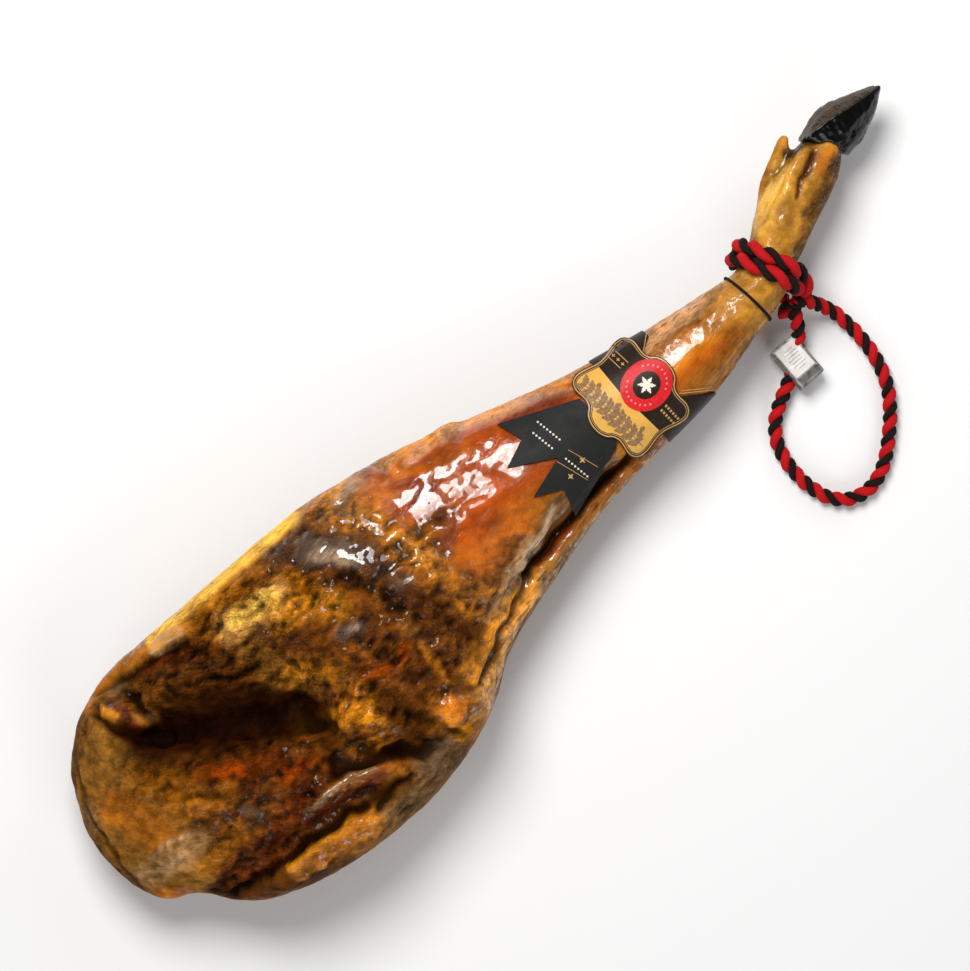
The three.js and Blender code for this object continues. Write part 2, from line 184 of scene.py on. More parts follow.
def meat_finish():
    """Painted colours broken up by drifts, flakes, folds and fibres, with painted shade in the bumps'
    hollows, painted highlight on their crests, and an oily shine where wet.
    """
    f = Finish("cured_meat")
    paint = f.attribute("paint").outputs["Color"]
    nature = f.split(f.attribute("nature").outputs["Color"])
    wet, crumb, fibre = nature[0], nature[1], nature[2]
    here = f.object_mm()
    slanted = f.object_mm(stretch=(1.9, 1, 1), turn=radians(-34))
    drifts = f.noise(f.warped(here, 30, 9), 24, 4, 0.6)
    flakes = f.noise(f.warped(slanted, 9, 4), 3.6, 6, 0.72)
    folds, fold_tone = f.cells(f.warped(f.object_mm(stretch=(2.6, 1, 1), turn=radians(-32)), 9, 5), 6.5)
    grit = f.noise(f.warped(here, 3, 1.0), 1.3, 4, 0.65)
    level = f.noise(f.warped(f.object_mm(stretch=(9, 1, 1), turn=radians(6)), 7, 1.2), 1.5, 3, 0.55)
    steep = f.noise(f.warped(f.object_mm(stretch=(8, 1, 1), turn=radians(-33)), 7, 1.6), 1.5, 3, 0.6)
    strands = f.mix(f.fit(f.axis(here, "X"), -170, -130), steep, level)
    wrinkles = f.noise(f.warped(f.object_mm(stretch=(1.8, 1, 1), turn=radians(14)), 10, 3), 6.5, 3, 0.6)
    oil_spots = f.noise(here, 3.6, 4, 0.6)
    tone = f.sum("MULTIPLY_ADD", flakes, 0.55, f.sum("MULTIPLY", fold_tone, 0.1))
    tone = f.sum("MULTIPLY_ADD", drifts, 0.35, tone)

    # Painted shade and painted highlight, partly also the crust's own dark and golden crumbs: darker where
    # the flakes, folds, grit and strands sink in the bumps below, lighter where they rise
    dark = f.mix(1.0, paint, (0.12, 0.075, 0.04, 1), "MULTIPLY")
    light = f.mix(1.0, paint, (2.1, 1.95, 1.5, 1), "MULTIPLY")
    colour = f.mix(1.0, paint, f.fit(drifts, 0.3, 0.7, 0.55, 1.4), "MULTIPLY")
    colour = f.mix(f.sum("MULTIPLY", crumb, f.fit(tone, 0.5, 0.36)), colour, dark)
    colour = f.mix(f.sum("MULTIPLY", crumb, f.fit(tone, 0.52, 0.66, 0, 0.9)), colour, light)
    colour = f.mix(f.sum("MULTIPLY", crumb, f.fit(folds, 0.55, 0.85, 0, 0.8)), colour, dark)
    colour = f.mix(f.sum("MULTIPLY", crumb, f.fit(grit, 0.44, 0.32, 0, 0.85)), colour, dark)
    colour = f.mix(f.sum("MULTIPLY", crumb, f.fit(grit, 0.57, 0.7, 0, 0.85)), colour, light)
    colour = f.mix(f.sum("MULTIPLY", fibre, f.fit(strands, 0.47, 0.32)), colour, dark)
    colour = f.mix(f.sum("MULTIPLY", fibre, f.fit(strands, 0.56, 0.75, 0, 0.8)), colour, light)
    f.set("Base Color", colour)

    oil = f.sum("MULTIPLY_ADD", f.fit(oil_spots, 0.5, 0.62), f.fit(wet, 0.2, 0.6, 0, 0.38), wet)
    f.set("Roughness", f.fit(oil, 0.2, 1, 0.42, 0.14))
    f.set("Specular IOR Level", f.fit(oil, 0.4, 0.9, 0.01, 0.25))
    f.set("Coat Weight", f.fit(oil, 0.55, 1, 0, 0.9))
    f.set("Coat Roughness", 0.05)
    f.set("Coat IOR", 1.65)
    f.bump(f.fit(folds, 0, 0.9, 1, 0), 0.0020, f.fit(crumb, 0.1, 1, 0, 0.8))
    f.bump(flakes, 0.0034, f.fit(crumb, 0.05, 1, 0.01, 0.95))
    f.bump(strands, 0.0012, f.fit(fibre, 0.1, 1, 0, 0.9))
    f.bump(wrinkles, 0.0024, f.fit(wet, 0.55, 0.95, 0, 0.8))
    f.bump(grit, 0.0009, f.fit(crumb, 0.05, 0.6, 0.01, 0.9))
    return f.material


def horn_finish():
    f = Finish("horn", Roughness=0.24)
    here = f.object_mm()
    rings = f.noise(f.object_mm(stretch=(0.7, 5, 5), turn=radians(-12)), 3.4, 4, 0.6, 0.4)
    flecks = f.noise(here, 1.6, 5, 0.65)
    brown = f.attribute("brown").outputs["Fac"]
    black = f.mix(f.fit(rings, 0.42, 0.72), srgb(3, 3, 3), srgb(17, 16, 15))
    worn = f.mix(f.fit(flecks, 0.44, 0.64), srgb(12, 8, 4), srgb(88, 64, 34))
    f.set("Base Color", f.mix(brown, black, worn))
    f.set("Roughness", f.sum("ADD", f.fit(brown, 0, 1, 0.16, 0.4), f.fit(flecks, 0.3, 0.7, -0.04, 0.1)))
    f.set("Specular IOR Level", 0.22)
    f.set("Coat Weight", f.fit(brown, 0, 1, 0.18, 0.03))
    f.set("Coat Roughness", 0.08)
    f.bump(rings, 0.0004, 0.4)
    f.bump(flecks, 0.0005, f.fit(brown, 0, 1, 0.1, 1))
    return f.material


def yarn_finish(name, deep, bright):
    """Twisted yarn: fine slanting threads read from the strand's own map, and a soft fuzz."""
    f = Finish(name, Roughness=0.82)
    uv = f.nodes.new("ShaderNodeUVMap")
    uv.uv_map = "UVMap"
    wave = f.nodes.new("ShaderNodeTexWave")
    turn = f.nodes.new("ShaderNodeMapping")
    turn.inputs["Scale"].default_value = (3.0, 420.0, 1)
    f.link(uv.outputs["UV"], turn.inputs["Vector"])
    f.link(turn.outputs["Vector"], wave.inputs["Vector"])
    wave.bands_direction = "DIAGONAL"
    wave.inputs["Scale"].default_value = 0.3183
    wave.inputs["Distortion"].default_value = 0.8
    wave.inputs["Detail"].default_value = 2
    threads = wave.outputs["Fac"]
    fuzz = f.noise(f.object_mm(), 0.7, 5, 0.7)
    colour = f.mix(f.fit(threads, 0.1, 0.9), deep, bright)
    f.set("Base Color", f.mix(f.fit(fuzz, 0.35, 0.75, 0, 0.5), colour, deep))
    f.set("Specular IOR Level", 0.2)
    f.bump(threads, 0.0005, 0.8)
    f.bump(fuzz, 0.0003, 0.7)
    return f.material


def paper_finish(name, colour, rough=0.45, fleck=0.12, coat=0.05):
    """Printed paper with faint fibres, slight unevenness and a low shine."""
    f = Finish(name, Roughness=rough)
    here = f.object_mm()
    fibres = f.noise(here, 1.3, 6, 0.7)
    patches = f.noise(here, 14, 3)
    pale = f.mix(f.fit(fibres, 0.4, 0.75, 0, fleck), colour, (0.8, 0.75, 0.65, 1))
    worn = f.fit(patches, 0.35, 0.7, 0, 0.35)
    dull = f.mix(1.0, pale, (0.6, 0.57, 0.5, 1), "MULTIPLY")
    f.set("Base Color", f.mix(worn, pale, dull))
    f.set("Roughness", f.fit(patches, 0.3, 0.7, rough - 0.08, rough + 0.1))
    f.set("Specular IOR Level", 0.12)
    f.set("Coat Weight", coat)
    f.set("Coat Roughness", 0.15)
    f.bump(fibres, 0.00005, 0.6)
    f.bump(patches, 0.0006, 0.5)
    return f.material


def shell_finish(name, dark, light, rough, metallic=0.0):
    """The seal's moulded shell, scuffed and cloudy."""
    f = Finish(name, Metallic=metallic)
    here = f.object_mm()
    clouds = f.noise(here, 5, 5, 0.65, 0.5)
    scuffs = f.noise(f.object_mm(stretch=(5, 0.6, 1), turn=0.6), 1.1, 5, 0.6)
    f.set("Base Color", f.mix(f.fit(clouds, 0.35, 0.68), dark, light))
    f.set("Roughness", f.fit(scuffs, 0.35, 0.7, rough - 0.1, rough + 0.14))
    f.bump(scuffs, 0.0002, 0.6)
    f.bump(clouds, 0.0004, 0.4)
    return f.material


def floor_finish():
    f = Finish("pale_table", Roughness=0.6)
    f.set("Base Color", (0.755, 0.757, 0.762, 1))
    f.set("Specular IOR Level", 0.2)
    return f.material


# Making pieces

def piece(name, mesh, materials=(), replaces=(), smooth=True):
    """Puts a mesh into the scene as a piece of the part."""
    made = bpy.data.objects.new(name, mesh)
    bpy.context.scene.collection.objects.link(made)
    for material in materials:
        mesh.materials.append(material)
    mesh.polygons.foreach_set("use_smooth", [smooth] * len(mesh.polygons))
    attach(made, ROOT)
    if replaces:
        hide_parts(*replaces)
    return made


def mesh_from(bm, name):
    mesh = bpy.data.meshes.new(name)
    bm.to_mesh(mesh)
    bm.free()
    return mesh


def merged_copy(node):
    """The CAD node's surface with its loose triangles joined, as a bmesh."""
    bm = bmesh.new()
    bm.from_mesh(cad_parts[node].data)
    bmesh.ops.remove_doubles(bm, verts=bm.verts, dist=1e-6)
    return bm


def even_mesh(node, voxel, rounds):
    """The CAD node's surface on an even fine grid, with its facets smoothed away."""
    rough = bpy.data.objects.new("rough", mesh_from(merged_copy(node), "rough"))
    bpy.context.scene.collection.objects.link(rough)
    grid = rough.modifiers.new("even grid", "REMESH")
    grid.mode = "VOXEL"
    grid.voxel_size = voxel
    ready = rough.evaluated_get(bpy.context.evaluated_depsgraph_get())
    bm = bmesh.new()
    bm.from_mesh(ready.to_mesh())
    bpy.data.objects.remove(rough)
    for _ in range(rounds):
        bmesh.ops.smooth_vert(bm, verts=bm.verts, factor=0.5,
                              use_axis_x=True, use_axis_y=True, use_axis_z=True)
    return mesh_from(bm, node)


def points_of(mesh):
    """A mesh's points in millimetres and their normals, as arrays."""
    count = len(mesh.vertices)
    places = np.empty(count * 3)
    mesh.vertices.foreach_get("co", places)
    normals = np.empty(count * 3)
    mesh.vertex_normals.foreach_get("vector", normals)
    return places.reshape(-1, 3) / MM, normals.reshape(-1, 3)


def move_points(mesh, places):
    mesh.vertices.foreach_set("co", (places * MM).ravel())
    mesh.update()


def add_colours(mesh, name, values):
    layer = mesh.attributes.new(name, "FLOAT_COLOR", "POINT")
    layer.data.foreach_set("color", np.clip(values, 0, 1).astype(np.float32).ravel())


def smoothstep(value, low, high):
    t = np.clip((value - low) / (high - low), 0, 1)
    return t * t * (3 - 2 * t)


def path_distance(places, path):
    """Distance of each point, seen from above, from a path of straight stretches."""
    best = np.full(len(places), np.inf)
    for (ax, ay), (bx, by) in zip(path, path[1:] if len(path) > 1 else path):
        dx, dy = bx - ax, by - ay
        t = ((places[:, 0] - ax) * dx + (places[:, 1] - ay) * dy) / max(dx * dx + dy * dy, 1e-9)
        t = np.clip(t, 0, 1)
        best = np.minimum(best, np.hypot(places[:, 0] - ax - t * dx, places[:, 1] - ay - t * dy))
    return best


def noise_values(places, size, octaves=3, seed=0.0):
    """Smooth random values of about -1 to 1, with lumps of that size in millimetres."""
    shift = Vector((seed, seed * 0.7, -seed))
    return np.array([noise.fractal(Vector(p) / size + shift, 1.0, 2.0, octaves) for p in places])


# Rope

ROPE_PITCH = 16 * MM
LINE_STEP = 1.2 * MM
# For the red strand, then the black one: how far its middle runs from the rope's, and its radius
STRANDS = [(2.0 * MM, 3.05 * MM), (2.7 * MM, 2.25 * MM)]
LOOP_ROUTE = [
    (0.2165, -0.0415, 0.031), (0.221, -0.0465, 0.0275),
    (0.224, -0.051, 0.022), (0.228, -0.058, 0.013), (0.231, -0.067, 0.007), (0.232, -0.08, 0.0053),
    (0.2315, -0.092, 0.0053), (0.2295, -0.104, 0.0053), (0.226, -0.115, 0.0053), (0.221, -0.125, 0.0053),
    (0.214, -0.134, 0.0053), (0.206, -0.142, 0.0053), (0.197, -0.1495, 0.0053), (0.188, -0.156, 0.0053),
    (0.178, -0.161, 0.0053), (0.168, -0.163, 0.0053), (0.158, -0.1615, 0.0053), (0.149, -0.156, 0.0053),
    (0.143, -0.1475, 0.0053), (0.14, -0.137, 0.0053), (0.139, -0.126, 0.0053), (0.14, -0.115, 0.0053),
    (0.1425, -0.105, 0.0054), (0.147, -0.096, 0.0057), (0.1535, -0.089, 0.0062), (0.162, -0.0835, 0.007),
    (0.171, -0.0795, 0.0078), (0.181, -0.075, 0.0083), (0.19, -0.07, 0.0088), (0.199, -0.0635, 0.0105),
    (0.206, -0.0565, 0.015), (0.209, -0.051, 0.02), (0.212, -0.046, 0.0235), (0.2165, -0.0425, 0.026),
]


def smooth_line(points, step):
    """A smooth curve through the points, with a place every step."""
    points = [Vector(p) for p in points]
    ends = [2 * points[0] - points[1], *points, 2 * points[-1] - points[-2]]
    line = []
    for a, b, c, d in zip(ends, ends[1:], ends[2:], ends[3:]):
        count = max(2, round((c - b).length / step))
        for i in range(count):
            t = i / count
            bend = 2 * b + (c - a) * t + (2 * a - 5 * b + 4 * c - d) * t ** 2
            bend += (3 * b - a - 3 * c + d) * t ** 3
            line.append(bend / 2)
    return [*line, points[-1]]


def line_frames(line):
    """Two cross directions at each place of the line, carried along without twisting."""
    ahead = [(b - a).normalized() for a, b in zip(line, line[1:])]
    ahead.append(ahead[-1])
    side = ahead[0].orthogonal().normalized()
    frames = []
    for here in ahead:
        side = (side - side.dot(here) * here).normalized()
        frames.append((side, here.cross(side)))
    return frames


def add_tube(bm, line, radius, slot, sides=10):
    """A closed round tube along a line, extruded ring by ring, with a map of round and along."""
    uv = bm.loops.layers.uv.verify()
    frames = line_frames(line)
    ring = bmesh.ops.create_circle(bm, segments=sides, radius=radius, cap_ends=False)["verts"]
    turn_of = {v: i for i, v in enumerate(ring)}
    along = {}
    first = list(ring)
    run = 0.0
    for k, (place, (side, up)) in enumerate(zip(line, frames)):
        if k:
            run += (place - line[k - 1]).length
            edges = [bm.edges.get((ring[i], ring[(i + 1) % sides])) for i in range(sides)]
            made = bmesh.ops.extrude_edge_only(bm, edges=edges)["geom"]
            fresh = [v for v in made if isinstance(v, bmesh.types.BMVert)]
            follow = {}
            for v in fresh:
                old = next(e.other_vert(v) for e in v.link_edges if e.other_vert(v) in turn_of)
                follow[turn_of[old]] = v
            ring = [follow[i] for i in range(sides)]
            turn_of = {v: i for i, v in enumerate(ring)}
        for i, v in enumerate(ring):
            angle = i / sides * tau
            v.co = place + (side * cos(angle) + up * sin(angle)) * radius
            along[v] = (i / sides, run)
    caps = []
    for end in (first, ring):
        caps += bmesh.ops.contextual_create(bm, geom=end)["faces"]
    for v in along:
        for loop in v.link_loops:
            u, reached = along[v]
            others = [along[w][0] for w in loop.face.verts]
            if loop.face not in caps and u == 0 and max(others) > 0.7:
                u = 1.0
            loop[uv].uv = (u, reached)
            loop.face.material_index = slot
            loop.face.smooth = loop.face not in caps


def rope_mesh(name, line, phase=0.0, pitch=ROPE_PITCH, full=1.0):
    """Two strands laid round each other along a line: the first material, then the second."""
    frames = line_frames(line)
    bm = bmesh.new()
    for slot, (out, strand) in enumerate(STRANDS):
        run = 0.0
        spiral = []
        for k, (place, (side, up)) in enumerate(zip(line, frames)):
            if k:
                run += (place - line[k - 1]).length
            angle = phase + run / pitch * tau + slot * pi
            spiral.append(place + (side * cos(angle) + up * sin(angle)) * out * full)
        add_tube(bm, spiral, strand * full, slot)
    bmesh.ops.recalc_face_normals(bm, faces=bm.faces)
    return mesh_from(bm, name)


RED_YARN = yarn_finish("red_yarn", srgb(172, 6, 14), srgb(250, 26, 38))
BLACK_YARN = yarn_finish("black_yarn", srgb(14, 6, 3), srgb(48, 26, 14))

loop_line = smooth_line(LOOP_ROUTE, LINE_STEP)
rope_loop = piece("rope_loop_strands", rope_mesh("rope_loop_strands", loop_line), (RED_YARN, BLACK_YARN),
                  replaces=["rope_loop"])


# The meat

# Finer forms of the leg's upper side: name, path, width and height in millimetres, minus for a groove
RELIEF = [
    ("flap's folds", [(-272, 90), (-268, 74), (-272, 60)], 4.0, 3.5),
    ("flap's crease", [(-286, 92), (-283, 74), (-277, 56), (-264, 46)], 4.0, -6.0),
    ("second crease", [(-262, 86), (-262, 68), (-266, 56)], 2.5, -2.5),
    ("rim line", [(-304, 95), (-324, 66), (-337, 42), (-344, 10), (-346, -14)], 1.6, -0.8),
    ("rim fold", [(-284, 99), (-262, 93), (-240, 88), (-212, 80)], 3.0, -4.0),
    ("rim swell", [(-240, 95), (-222, 89), (-205, 84)], 5.0, 2.5),
    ("hollow floor", [(-262, 50), (-240, 32), (-212, 10), (-190, -8)], 9.0, -5.0),
    ("fibre ridge 1", [(-246, 72), (-222, 56), (-200, 44)], 3.0, 2.2),
    ("fibre groove 1", [(-240, 66), (-216, 50), (-196, 38)], 2.6, -2.2),
    ("fibre ridge 2", [(-236, 60), (-212, 42), (-192, 28)], 3.0, 1.6),
    ("hollow lip", [(-262, 12), (-236, -2), (-212, -14)], 6.0, 2.5),
    ("hole by the knob", [(-190, -14), (-184, -24)], 5.0, -5.0),
    ("knob crown", [(-172, -28), (-164, -36)], 8.0, 3.0),
    ("under the knob", [(-186, -40), (-176, -52)], 4.5, -4.0),
    ("deep groove", [(-200, -43), (-184, -54), (-163, -66), (-155, -78)], 4.0, -5.0),
    ("silver fold's edge", [(-226, -50), (-205, -52), (-186, -60)], 3.5, 3.0),
    ("lower groove", [(-304, -56), (-268, -62), (-232, -67), (-205, -73)], 3.5, -4.5),
    ("golden fold's crown", [(-268, -69), (-240, -73), (-208, -80)], 4.0, 2.5),
    ("third groove", [(-200, -82), (-186, -80), (-170, -82)], 3.0, -3.5),
    ("crust ridge", [(-118, 56), (-108, 46), (-102, 34)], 8.0, 2.6),
    ("crust hollow", [(-110, 38), (-104, 20), (-102, 0)], 6.0, -3.5),
    ("crust hollow 2", [(-134, 10), (-128, -20)], 6.0, -2.5),
    ("sliver", [(-107, -27), (-109, -40), (-113, -56)], 3.0, 1.0),
    ("arc", [(-128, 66), (-106, 34), (-98, 6), (-100, -24)], 6.0, -1.2),
    ("joint knob crown", [(-122, -72), (-110, -78)], 9.0, 3.0),
    ("joint crease", [(-140, -60), (-130, -84)], 4.0, -3.0),
    ("tendon 1", [(-100, -66), (-60, -50), (-24, -40)], 3.0, 2.2),
    ("tendon 2", [(-96, -76), (-56, -60), (-30, -54)], 3.0, 1.8),
    ("tendon groove", [(-98, -70), (-60, -55), (-30, -47)], 2.4, -2.0),
    ("slit", [(-30, -43), (-10, -40), (20, -38), (74, -36.5)], 3.4, -6.0),
    ("slit's upper edge", [(-30, -36), (0, -30), (34, -30), (66, -31)], 3.0, 1.8),
    ("bone strip", [(-20, -50), (20, -46.5), (80, -44)], 4.0, 1.5),
    ("fat lumps", [(-66, 62), (-72, 20), (-62, -30)], 9.0, 2.0),
    ("muscle slope", [(-66, 19), (-30, 16), (-10, 13)], 10.0, 3.4),
    ("muscle valley", [(-56, 40), (-30, 38), (8, 31)], 6.0, -1.6),
    ("upper edge", [(-40, 64), (-20, 61.5), (2, 56.5)], 4.8, 3.6),
    ("upper shoulder", [(-6, 58), (20, 48.5), (46, 37.5), (74, 24)], 3.6, 1.7),
    ("upper edge by the crust", [(-104, 80), (-78, 76), (-56, 71)], 5.5, 3.0),
    ("shank ridge", [(124, -20), (150, -20), (180, -23)], 5.0, 0.9),
    ("shank sinew", [(140, 9), (155, 8.5), (178, 5)], 4.0, 1.8),
    ("shank furrow", [(140, 2), (155, 0), (170, -4)], 2.5, -0.8),
    ("muscle seam", [(-62, 28), (-40, 16), (-10, 12)], 4.0, -1.2),
    ("dewclaw crease", [(262, 6), (276, 11), (288, 18)], 1.6, -2.2),
    ("dewclaw fold", [(256, 12), (270, 17), (283, 22)], 3.0, 1.5),
    ("upper toe crease", [(262, 26), (274, 26)], 2.0, -2.0),
    ("toe dent", [(232, -6), (262, 0), (290, 6)], 5.0, -1.2),
]

# Paint for the leg's upper side, laid on in this order: colour, path, width and strength, then how
# wet, how crumbly and how fibrous it is there.
COLOURS = {
    "rind": srgb(142, 90, 28),
    # Painted shade, laid into the grooves, creases and the deep cavity of the butt
    "hollow": srgb(36, 12, 2),
    "umber": srgb(52, 26, 5),
    "crust": srgb(96, 50, 8),
    "tan": srgb(134, 90, 32),
    "ochre": srgb(152, 90, 12),
    "gold": srgb(184, 116, 18),
    # Pale fat; on the trotter also a painted highlight
    "butter": srgb(248, 192, 76),
    "orange": srgb(172, 90, 6),
    "amber": srgb(156, 62, 2),
    "deep amber": srgb(112, 36, 2),
    "russet": srgb(82, 28, 2),
    "mould": srgb(112, 86, 52),
    "slate": srgb(82, 65, 48),
    "beige": srgb(180, 130, 68),
    # Painted highlight: pale streaks where the wet fat and skin catch the light
    "pink": srgb(192, 142, 100),
    "skin": srgb(150, 86, 22),
    "trotter": srgb(168, 116, 38),
    "black": srgb(16, 14, 12),
    # Silvery skin over the meat, painted paler as a highlight where it catches the light
    "silver": srgb(166, 138, 110),
    "ash": srgb(150, 116, 78),
}
